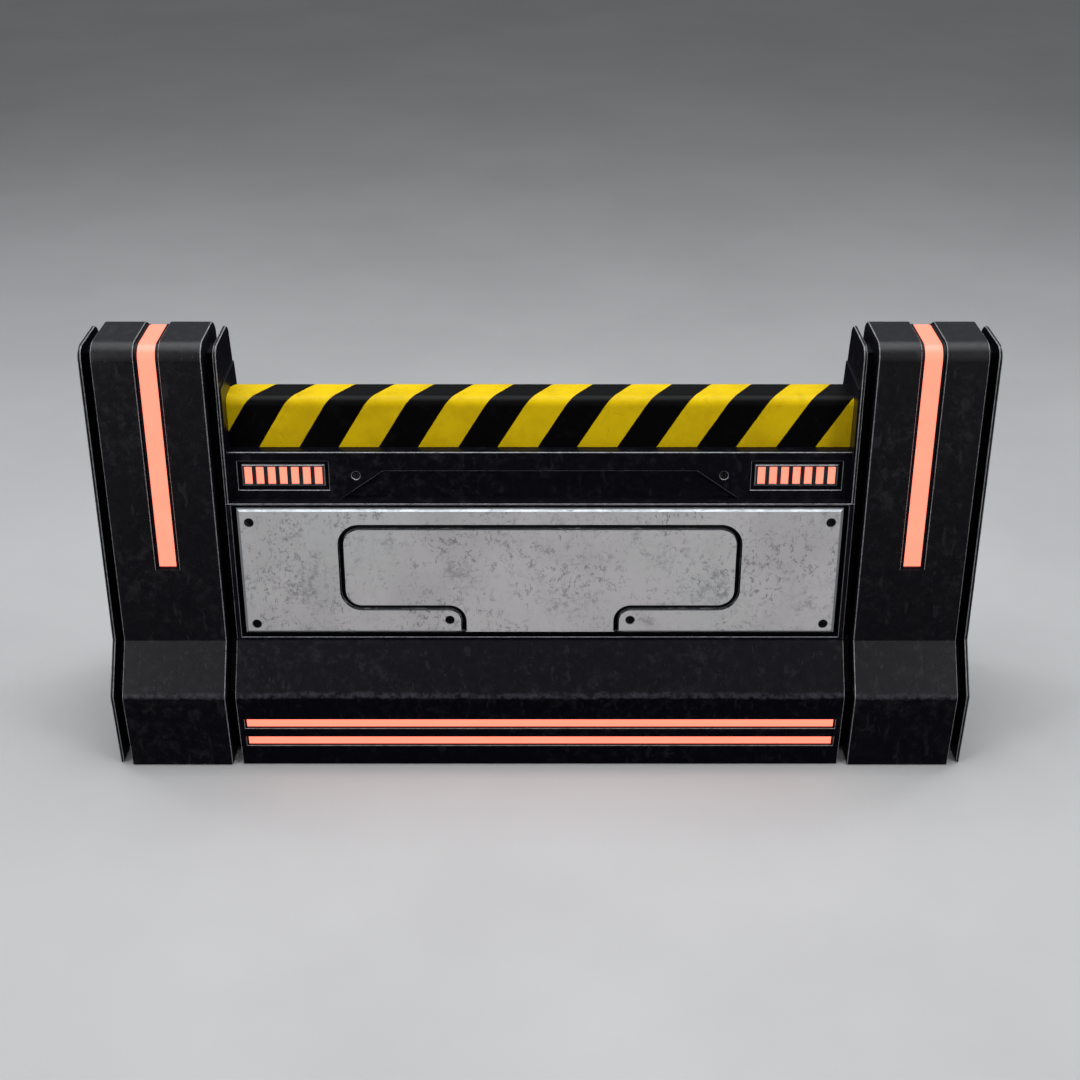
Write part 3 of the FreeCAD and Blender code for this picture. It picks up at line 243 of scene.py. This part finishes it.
def black_paint(name, dust=1.0, gloss=0.42, specular=0.28, rub_and_highlight_at=None):
    """Satin black paint, rubbed grey by scuffing and fine scratches.  The last argument is the
    height of a corner, just above which a level band is painted lighter: partly rubbed paint,
    partly a painted highlight along the bend."""
    g = Graph(name)
    cloud = g.ramp(g.noise(4.5, 5, 0.62), 0.42, 0.66)
    mottle = g.times(g.ramp(g.noise(40, 6, 0.74), 0.46, 0.74), g.add(g.times(cloud, 0.8), 0.2))
    upright = g.streaks(44, 1.0, 0.30, (4, 7, 0), 0.38, 1.3)
    level = g.streaks(26, 0.9, 1.0, (40, 62, 15), 0.36, 4.1)
    fine = g.largest(g.scratches(46, 0.0008, 8, 0.5), g.scratches(85, 0.0009, 5, 0.6))
    rubs = g.largest(g.times(upright, 0.5), g.times(level, 0.42), mottle)
    scuffs_and_highlight = g.math("MINIMUM", g.add(g.times(rubs, 0.20), g.times(fine, 0.09)), 1.0)
    # Level band just above the corner: partly rubbed paint, partly a painted highlight along the
    # bend
    if rub_and_highlight_at is not None:
        wander = g.times(g.minus(g.noise(18, 5, 0.7), 0.5), 0.022)
        above = g.add(g.minus(g.axes()[2], rub_and_highlight_at), wander)
        band = g.times(g.ramp(above, -0.003, 0.003), g.ramp(above, 0.016, 0.006))
        broken = g.ramp(g.noise(60, 5, 0.75), 0.38, 0.60)
        scuffs_and_highlight = g.math("MINIMUM", g.add(scuffs_and_highlight, g.times(band, g.times(broken, 0.55))), 1.0)
    colour = g.blend(g.times(scuffs_and_highlight, dust), INK, DUST)
    roughness = g.add(g.times(g.noise(60, 3), 0.12), g.add(g.times(rubs, 0.22), gloss - 0.06))
    relief = g.add(g.times(g.noise(420, 2), 0.35), g.add(g.times(fine, -0.6), g.times(rubs, 0.5)))
    return g.finish(colour, roughness, height=relief, depth=0.00025, specular=specular)


def rubbed_edge(name, metal=HIGHLIT_BARE_STEEL, least=0.45):
    """A bevel painted lighter, partly as paint rubbed through to steel and partly as a painted
    highlight, here more and there less.  least is how much of the lighter colour it keeps where
    the paint holds best, from 0 to 1."""
    g = Graph(name)
    broken = g.ramp(g.noise(30, 5, 0.7), 0.30, 0.50, least, 1.0)
    nicks = g.scratches(80, 0.0012, 5)
    # Mask of the lighter colour: rubbed paint and painted highlight together
    wear_and_highlight = g.times(broken, g.minus(1.0, g.times(nicks, 0.6)))
    stained = tuple(0.66 * part for part in metal)
    tone = g.blend(g.ramp(g.noise(90, 3), 0.35, 0.65), metal, stained)
    colour = g.blend(wear_and_highlight, EDGE_PAINT, tone)
    roughness = g.blend(wear_and_highlight, 0.5, 0.36)
    return g.finish(colour, roughness, metallic=0.25, height=broken, depth=0.0002, specular=0.5)


def armor_steel(name):
    """Pale grey armour plate: mottled, hair scratched, with smudges and painted shade in the
    corners.
    """
    g = Graph(name)
    pale, middle, cool = (0.392, 0.382, 0.392), (0.325, 0.318, 0.326), (0.340, 0.362, 0.362)
    base = g.blend(g.ramp(g.noise(3.2, 5, 0.6), 0.38, 0.66), pale, middle)
    base = g.blend(g.times(g.ramp(g.noise(2.1, 3), 0.5, 0.72), 0.7), base, cool)
    patchy = g.ramp(g.noise(7, 5, 0.65), 0.42, 0.58, 0.18, 1.0)
    ragged = g.ramp(g.noise(70, 4, 0.7), 0.47, 0.58)
    vein = g.math("ABSOLUTE", g.minus(g.noise(24, 5, 0.62), 0.5))
    leaning = g.stretched((1.6, 1, 0.5), turn=(5, 20, 8))
    upright = g.math("ABSOLUTE", g.minus(g.noise(22, 4, 0.6, vector=leaning), 0.5))
    strokes = g.times(g.largest(g.ramp(vein, 0.030, 0.003), g.ramp(upright, 0.030, 0.003)),
                      ragged)
    specks = g.times(g.ramp(g.noise(58, 3, 0.6), 0.64, 0.74), 0.8)
    nicks = g.largest(g.scratches(36, 0.0013, 6, 0.4), g.scratches(70, 0.0015, 9, 0.5))
    fine = g.times(patchy, g.largest(strokes, specks, g.times(nicks, 0.8)))
    smudge = g.times(g.ramp(g.noise(8, 6, 0.75), 0.52, 0.66),
                     g.ramp(g.noise(60, 5, 0.8), 0.42, 0.58))
    # Painted shade: darker next to corners and gaps, where ambient occlusion is deep, broken up by
    # noise
    rub = g.times(g.occlusion_shade(0.045), g.ramp(g.noise(30, 5, 0.75), 0.34, 0.52))
    marks = g.largest(g.times(fine, 0.66), g.times(smudge, 0.55), rub)
    colour = g.blend(marks, base, (0.055, 0.060, 0.070))
    roughness = g.add(g.times(g.noise(40, 4), 0.16), g.add(g.times(marks, 0.2), 0.36))
    relief = g.add(g.times(g.noise(150, 3), 0.3), g.times(fine, -1.0))
    return g.finish(colour, roughness, metallic=0.15, height=relief, depth=0.0003,
                    specular=0.45)


def polished_bevel(name):
    """The wide bevel round the armour plate, ground bright and then handled."""
    g = Graph(name)
    wear = g.ramp(g.noise(30, 5, 0.7), 0.42, 0.62)
    marks = g.scratches(48, 0.0009, 4)
    colour = g.blend(g.times(g.largest(wear, marks), 0.18),
                     (0.36, 0.38, 0.41), (0.14, 0.16, 0.19))
    roughness = g.add(g.times(wear, 0.08), 0.30)
    return g.finish(colour, roughness, metallic=0.6, height=marks, depth=0.0003, specular=0.5)


def dark_groove(name):
    """Near-black painted shade on the rounded edges along the gap round the hatch, faintly mottled
    bluish.
    """
    g = Graph(name)
    wear = g.ramp(g.noise(52, 4, 0.7), 0.5, 0.7)
    colour = g.blend(g.times(wear, 0.10), (0.0014, 0.0018, 0.0034), (0.03, 0.045, 0.07))
    roughness = g.add(g.times(g.noise(80, 3), 0.08), 0.15)
    return g.finish(colour, roughness, height=wear, depth=0.00005, specular=0.5)


STRIPE_PITCH = 0.1844        # along the beam, one yellow and one black stripe
STRIPE_LEAN = 0.585          # how far a stripe moves along the beam per metre of girth
STRIPE_START = -0.0974       # a yellow stripe's lower left corner on the front face
STRIPE_BLUR = 0.004          # softness of a stripe's edge, as a share of the pitch
TOP_SPREAD = 1.16            # the stripes lie a little flatter over the top of the beam


def hazard_paint(name):
    """Slanting yellow and black stripes, painted round the front, the top and the back.
    The girth runs up the front of the beam, over its top and down its back."""
    g = Graph(name)
    low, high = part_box("crash_beam")
    x, y, z = g.axes()
    behind = g.math("GREATER_THAN", y, 0.0)
    side = g.math("MULTIPLY_ADD", behind, 2.0, -1.0)       # -1 at the front, 1 at the back
    girth = g.add(g.times(g.minus(y, low.y), TOP_SPREAD), g.times(g.minus(high.z, z), side))
    start = low.z - high.z
    wander = g.times(g.minus(g.noise(60, 3), 0.5), 0.0016)
    along = g.add(g.minus(x, g.times(g.minus(girth, start), STRIPE_LEAN)), wander)
    phase = g.math("FRACT", g.times(g.minus(along, STRIPE_START), 1 / STRIPE_PITCH))
    black = g.times(g.ramp(phase, 0.5 - STRIPE_BLUR, 0.5 + STRIPE_BLUR),
                    g.ramp(phase, 1.0, 1.0 - 2 * STRIPE_BLUR))
    mottle = g.ramp(g.noise(11, 5, 0.62), 0.36, 0.70)
    yellow = g.blend(mottle, (0.46, 0.318, 0.0015), (0.37, 0.248, 0.0011))
    fine = g.largest(g.scratches(26, 0.0007, 7, 0.5), g.scratches(48, 0.0006, 11, 0.5))
    dirt = g.largest(g.times(fine, 0.5), g.times(g.ramp(g.noise(23, 6, 0.7), 0.60, 0.76), 0.30))
    yellow = g.blend(dirt, yellow, (0.15, 0.098, 0.003))
    ink = g.blend(g.times(g.largest(fine, g.ramp(g.noise(27, 5, 0.7), 0.52, 0.76)), 0.5),
                  (0.0009, 0.0009, 0.0011), (0.0045, 0.0045, 0.005))
    colour = g.blend(black, yellow, ink)
    roughness = g.add(g.times(g.noise(35, 4), 0.12), g.add(g.times(dirt, 0.2), 0.33))
    relief = g.add(g.times(g.noise(240, 2), 0.3), g.times(fine, -1.0))
    return g.finish(colour, roughness, height=relief, depth=0.0002, specular=0.07)


LENS_STRENGTH = 1.9          # of the glow


def glowing_lens(name):
    """Frosted salmon lens, lit from behind by a row of light-emitting diodes."""
    g = Graph(name)
    frost = g.noise(900, 2)
    cloud = g.ramp(g.noise(14, 3), 0.3, 0.7)
    tint = g.blend(cloud, (1.0, 0.186, 0.120), (1.0, 0.196, 0.129))
    roughness = g.add(g.times(frost, 0.15), 0.34)
    return g.finish((0.10, 0.030, 0.020), roughness, height=frost, depth=0.00008, specular=0.5,
                    emission=tint, strength=LENS_STRENGTH)


def moulded_plastic(name, colour, pale, gloss=0.4):
    """Finely grained black plastic with a handled sheen."""
    g = Graph(name)
    grain = g.noise(650, 2)
    handled = g.ramp(g.noise(18, 5, 0.65), 0.42, 0.72)
    fine = g.scratches(60, 0.0006, 12)
    tone = g.blend(g.times(g.largest(handled, fine), 0.5), colour, pale)
    roughness = g.add(g.times(handled, 0.12), g.add(g.times(grain, 0.12), gloss))
    return g.finish(tone, roughness, height=grain, depth=0.00012, specular=0.35)


def machined_metal(name, colour, stain, gloss=0.28, metallic=0.95):
    """Turned or ground metal with stains and fine marks."""
    g = Graph(name)
    stains = g.ramp(g.noise(30, 5, 0.7), 0.45, 0.72)
    fine = g.scratches(80, 0.0006, 13)
    tone = g.blend(g.times(g.largest(stains, fine), 0.6), colour, stain)
    roughness = g.add(g.times(stains, 0.2), g.add(g.times(g.noise(200, 2), 0.1), gloss))
    return g.finish(tone, roughness, metallic=metallic, height=fine, depth=0.0002)


def zinc_steel(name):
    """Hot-dip galvanised steel with its spangle, a little white rust and dirt."""
    g = Graph(name)
    cells = g.node("ShaderNodeTexVoronoi")
    g.feed(cells.inputs["Vector"], g.bent(g.place, 40, 0.006))
    cells.inputs["Scale"].default_value = 75
    flake = g.node("ShaderNodeSeparateColor")
    g.feed(flake.inputs[0], cells.outputs["Color"])
    spangle = flake.outputs[0]
    rust = g.ramp(g.noise(12, 6, 0.7), 0.55, 0.75)
    colour = g.blend(spangle, (0.30, 0.31, 0.33), (0.44, 0.45, 0.46))
    colour = g.blend(g.times(rust, 0.5), colour, (0.20, 0.19, 0.18))
    roughness = g.add(g.times(spangle, 0.2), g.add(g.times(rust, 0.2), 0.32))
    return g.finish(colour, roughness, metallic=0.8, height=g.noise(120, 3), depth=0.0002)


def grey_rubber(name, fresh, bloomed):
    """Matt black rubber with a bloom and fine pores."""
    g = Graph(name)
    bloom = g.ramp(g.noise(24, 5, 0.68), 0.40, 0.72)
    pores = g.noise(700, 2)
    colour = g.blend(g.times(bloom, 0.6), fresh, bloomed)
    roughness = g.add(g.times(pores, 0.15), 0.68)
    return g.finish(colour, roughness, height=pores, depth=0.0003, specular=0.12)


def circuit_board(name):
    """Green circuit board with copper tracks under the lacquer."""
    g = Graph(name)
    bricks = g.node("ShaderNodeTexBrick")
    g.feed(bricks.inputs["Vector"], g.stretched((1, 1, 1), turn=(90, 0, 0)))
    bricks.inputs["Scale"].default_value = 60
    bricks.inputs["Mortar Size"].default_value = 0.03
    tracks = g.minus(1.0, bricks.outputs["Fac"])
    colour = g.blend(tracks, (0.020, 0.085, 0.040), (0.012, 0.055, 0.028))
    roughness = g.add(g.times(g.noise(150, 3), 0.15), 0.28)
    return g.finish(colour, roughness, height=tracks, depth=0.0001, specular=0.5)


def backdrop_grey(name):
    """Pale studio floor, almost even, with a trace of mottling."""
    g = Graph(name)
    tone = g.ramp(g.noise(0.9, 4, 0.6), 0.3, 0.7)
    colour = g.blend(tone, (0.33, 0.33, 0.335), (0.36, 0.36, 0.365))
    roughness = g.add(g.times(g.noise(14, 4), 0.1), 0.50)
    return g.finish(colour, roughness, height=g.noise(180, 2), depth=0.0002, specular=0.3)


# ---------------------------------------------------------------- edges with wear and painted highlights

BEVEL_WIDTH = 0.0032         # a smooth band narrower than this is an edge, rubbed and painted with a highlight
SMOOTH_TURN = math.cos(math.radians(20))    # triangles that turn less are in one band
WELD_GRID = 1e5              # steps a metre: corners that round to the same step are one
NO_OUTLINE = 1e-9            # a band closed on itself has no outline, and counts as wide


def smooth_bands(mesh):
    """Group the triangles into bands that turn smoothly.  Returns the width of each
    triangle's band, measured as twice the area over the outline, and its normal."""
    count = len(mesh.polygons)
    corners = np.array([tuple(face.vertices) for face in mesh.polygons])
    points = np.array([tuple(vertex.co) for vertex in mesh.vertices])
    normals = np.array([tuple(face.normal) for face in mesh.polygons])
    areas = np.array([face.area for face in mesh.polygons])
    _, weld = np.unique(np.round(points * WELD_GRID).astype(np.int64), axis=0, return_inverse=True)
    weld = weld.ravel()
    beside = {}
    for face in range(count):
        triangle = weld[corners[face]]
        for start, end in zip(triangle, np.roll(triangle, -1)):
            beside.setdefault((min(start, end), max(start, end)), []).append(face)
    band = list(range(count))

    def root(face):
        while band[face] != face:
            band[face] = band[band[face]]
            face = band[face]
        return face

    smooth = {edge: len(faces) == 2 and normals[faces[0]] @ normals[faces[1]] > SMOOTH_TURN
              for edge, faces in beside.items()}
    for edge, faces in beside.items():
        if smooth[edge]:
            band[root(faces[0])] = root(faces[1])
    roots = np.array([root(face) for face in range(count)])
    outline = np.zeros(count)
    seat = {welded: points[vertex] for vertex, welded in enumerate(weld)}
    for edge, faces in beside.items():
        if not smooth[edge]:
            length = np.linalg.norm(seat[edge[0]] - seat[edge[1]])
            for face in faces:
                outline[roots[face]] += length
    area = np.bincount(roots, weights=areas, minlength=count)
    width = 2 * area / np.maximum(outline, NO_OUTLINE)
    return width[roots], normals


def dress(node, main, edge=None, choose=()):
    """Give a CAD node its materials: one for its faces, and one for its narrow bands.
    choose has further materials, each with a test of the bands' widths and the normals."""
    mesh = NODES[node].data
    mesh.materials.clear()
    mesh.materials.append(main)
    if edge is None and not choose:
        return
    widths, normals = smooth_bands(mesh)
    places = np.zeros(len(widths), np.int32)
    if edge is not None:
        mesh.materials.append(edge)
        places[widths < BEVEL_WIDTH] = 1
    for material, test in choose:
        mesh.materials.append(material)
        places[test(widths, normals)] = len(mesh.materials) - 1
    mesh.polygons.foreach_set("material_index", places)


def facing(normal, limits):
    """Choose triangles by how squarely they face a direction, from -1 to 1."""
    least, most = limits

    def test(widths, normals):
        square = normals @ np.array(normal)
        return (square > least) & (square < most)
    return test


def plate_normal(node):
    """Outward normal of a leaning plate: that of its largest triangle, or the opposite one,
    whichever looks up."""
    largest = max(NODES[node].data.polygons, key=lambda face: face.area)
    normal = largest.normal.copy()
    return normal if normal.z > 0 else -normal


ROUNDED = (0.04, 0.985)      # how squarely rounded edges face along the plate's normal,
SLANTED = (0.55, 0.85)       # and how squarely its wide bevel does, least and most
WIDE_BEVEL = (0.0075, 0.0125)     # least and most band width of that bevel


def wide_bevel(normal):
    """Choose the triangles of the bevel round a plate that faces along normal."""
    slanted = facing(normal, SLANTED)
    least, most = WIDE_BEVEL

    def test(widths, normals):
        return slanted(widths, normals) & (widths > least) & (widths < most)
    return test


SKIRT_SLACK = 0.0002         # corners this close to the foremost ones are in the skirt


def top_of_skirt(node):
    """Height where the upright skirt of a node ends and its sloping shoulder begins."""
    low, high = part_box(node)
    return max(vertex.co.z for vertex in NODES[node].data.vertices
               if vertex.co.y < low.y + SKIRT_SLACK)


def make_looks():
    """Every material, by the name that the dress functions call it."""
    skirt_top = top_of_skirt("left_hood")
    return {
        # The band above the top of the skirt is partly rubbed paint, partly a painted highlight
        "paint": black_paint("black_paint", rub_and_highlight_at=skirt_top),
        "cheek": black_paint("cheek_paint", dust=0.7, gloss=0.30),
        "cover": black_paint("cover_paint", gloss=0.38, specular=0.17, rub_and_highlight_at=skirt_top),
        "inside": black_paint("inside_paint", dust=0.5, gloss=0.5, specular=0.15),
        # Narrow edges, lighter: partly rubbed paint, partly a painted highlight
        "edge": rubbed_edge("rubbed_edge"),
        "faint": rubbed_edge("faint_edge", metal=DULL_HIGHLIT_STEEL, least=0.4),
        "armor": armor_steel("armor_steel"),
        "bevel": polished_bevel("polished_bevel"),
        # Rounded edges along the gap round each hatch: near-black painted shade
        "gap_shade": dark_groove("dark_groove"),
        "bezel": moulded_plastic("bezel_plastic", (0.006, 0.006, 0.008), (0.030, 0.031, 0.035)),
        "lens": glowing_lens("glowing_lens"),
        "zinc": zinc_steel("zinc_steel"),
        "rubber": grey_rubber("black_rubber", (0.010, 0.010, 0.011), (0.034, 0.033, 0.032)),
        # Painted shade: the seal behind the gap round each hatch is far blacker than the rubber of
        # the feet, for the shade deep in the gap
        "seal": grey_rubber("seal_rubber", (0.0012, 0.0012, 0.0015), (0.004, 0.004, 0.005)),
        "screw": machined_metal("oiled_screw", (0.020, 0.021, 0.024), (0.09, 0.09, 0.10)),
        "pin": machined_metal("bright_pin", (0.50, 0.50, 0.51), (0.26, 0.25, 0.24)),
        "lock": machined_metal("lock_core", (0.004, 0.004, 0.006), (0.03, 0.03, 0.034),
                               gloss=0.3, metallic=0.2),
        "board": circuit_board("circuit_board"),
        "battery": moulded_plastic("battery_case", (0.030, 0.034, 0.040), (0.085, 0.09, 0.10),
                                   0.45),
        "control": moulded_plastic("control_case", (0.14, 0.145, 0.15), (0.26, 0.26, 0.26),
                                   0.42),
        "hazard": hazard_paint("hazard_paint"),
    }


def dress_pillar(side, looks):
    dress(f"{side}_hood", looks["paint"], looks["edge"])
    for place in ("outer", "inner"):
        dress(f"{side}_{place}_cheek", looks["cheek"], looks["edge"])
        dress(f"{side}_{place}_spacer", looks["inside"])
    dress(f"{side}_light_tray", looks["inside"])
    dress(f"{side}_light_lens", looks["lens"])
    dress(f"{side}_led_strip", looks["board"])
    dress(f"{side}_column", looks["zinc"])
    dress(f"{side}_base_plate", looks["zinc"])
    dress(f"{side}_cross_bolts", looks["pin"], looks["edge"])


def dress_face(side, looks):
    """The front or the rear of the middle: its base cover, tray, fascia, plate and hatch."""
    outward = plate_normal(f"{side}_armor_plate")
    # The rounded edges along the gap round the hatch get near-black painted shade
    rounded = (looks["gap_shade"], facing(outward, ROUNDED))
    bevel = (looks["bevel"], wide_bevel(outward))
    dress(f"{side}_base_cover", looks["cover"], looks["edge"])
    dress(f"{side}_base_light_tray", looks["inside"])
    dress(f"{side}_tray", looks["cover"], looks["faint"])
    dress(f"{side}_fascia", looks["cover"], looks["faint"])
    dress(f"{side}_armor_plate", looks["armor"], choose=(rounded, bevel))
    dress(f"{side}_hatch", looks["armor"], choose=(rounded,))
    # The seal behind that gap takes a near-black rubber, as painted shade deep in the gap
    dress(f"{side}_hatch_seal", looks["seal"])
    for lock_side in ("left", "right"):
        dress(f"{side}_{lock_side}_lock", looks["lock"])


SHARED_LOOKS = {             # the look of the nodes that are in no pillar and on no face
    "lens": ("base_lenses", "signal_lenses"),
    "board": ("base_led_strips", "signal_boards"),
    "screw": ("plate_screws", "hinge_pins"),
    "zinc": ("hatch_catches", "lock_keepers", "base_rails", "cross_sills", "centre_posts",
             "battery_shelf"),
    "hazard": ("crash_beam",),
    "cheek": ("beam_flanges",),
    "rubber": ("foot_pads",),
}
EDGED_LOOKS = {              # the same for cases whose edges are a little rubbed and faintly painted with a highlight
    "bezel": "signal_bezels",
    "battery": "battery_pack",
    "control": "control_box",
}


def dress_everything():
    looks = make_looks()
    for side in ("left", "right"):
        dress_pillar(side, looks)
    for side in ("front", "rear"):
        dress_face(side, looks)
    for look, nodes in SHARED_LOOKS.items():
        for node in nodes:
            dress(node, looks[look])
    for look, node in EDGED_LOOKS.items():
        dress(node, looks[look], looks["faint"])


# ---------------------------------------------------------------- floor and light

WARM = (1.0, 0.985, 0.96)
CLEAR = (0.97, 0.985, 1.0)
COOL = (0.95, 0.97, 1.0)
SOFTBOXES = {                # name: place, size across and up, watts, colour
    "key_left": ((-4.8, -3.6, 2.4), (1.8, 2.6), 190, WARM),
    "key_right": ((4.8, -3.6, 2.4), (1.8, 2.6), 170, WARM),
    "top": ((0, 0.1, 3.4), (4.0, 2.6), 170, CLEAR),
    "back_left": ((-4.6, 2.6, 2.6), (1.2, 2.4), 60, COOL),
    "back_right": ((4.6, 2.6, 2.6), (1.2, 2.4), 60, COOL),
}
WORLD_LOW = (0.03, 0.03, 0.035, 1)     # colour of the surroundings seen looking down
WORLD_HIGH = (0.80, 0.82, 0.85, 1)     # and looking level or up
WORLD_START = -0.10          # rise of the line of sight where the one starts to turn into
WORLD_END = -0.04            # the other, and where it has
WORLD_STRENGTH = 0.32


def make_floor():
    corners = [(-FLOOR_HALF, -FLOOR_HALF, 0), (FLOOR_HALF, -FLOOR_HALF, 0),
               (FLOOR_HALF, FLOOR_HALF, 0), (-FLOOR_HALF, FLOOR_HALF, 0)]
    mesh = bpy.data.meshes.new("floor")
    mesh.from_pydata(corners, [], [(0, 1, 2, 3)])
    mesh.materials.append(backdrop_grey("backdrop_grey"))
    floor = bpy.data.objects.new("floor", mesh)
    bpy.context.scene.collection.objects.link(floor)
    floor.visible_glossy = False      # no pale floor in the gloss of the black paint


def make_softbox(name, place, size, power, colour):
    """A rectangular light that faces the middle of the barricade."""
    data = bpy.data.lights.new(name, "AREA")
    data.shape = "RECTANGLE"
    data.size, data.size_y = size
    data.energy = power
    data.color = colour
    light = bpy.data.objects.new(name, data)
    light.location = place
    aim = Vector((0, 0, cad_high.z / 2)) - light.location
    light.rotation_euler = aim.to_track_quat("-Z", "Y").to_euler()
    bpy.context.scene.collection.objects.link(light)


def make_world():
    """Surroundings that are pale from the horizon up and dark below it."""
    world = bpy.data.worlds.new("studio")
    world.use_nodes = True
    nodes, links = world.node_tree.nodes, world.node_tree.links
    direction = nodes.new("ShaderNodeSeparateXYZ")
    links.new(nodes.new("ShaderNodeTexCoord").outputs["Generated"], direction.inputs[0])
    raised = nodes.new("ShaderNodeMath")
    raised.inputs[1].default_value = -WORLD_START
    horizon = nodes.new("ShaderNodeValToRGB")
    dark, pale = horizon.color_ramp.elements
    dark.position, dark.color = 0.0, WORLD_LOW
    pale.position, pale.color = WORLD_END - WORLD_START, WORLD_HIGH
    links.new(direction.outputs["Z"], raised.inputs[0])
    links.new(raised.outputs[0], horizon.inputs[0])
    links.new(horizon.outputs[0], nodes["Background"].inputs["Color"])
    nodes["Background"].inputs["Strength"].default_value = WORLD_STRENGTH
    bpy.context.scene.world = world


def make_lights():
    bpy.context.scene.view_settings.view_transform = "Standard"
    for name, (place, size, power, colour) in SOFTBOXES.items():
        make_softbox(name, place, size, power, colour)
    make_world()


make_camera()
dress_everything()
make_floor()
make_lights()
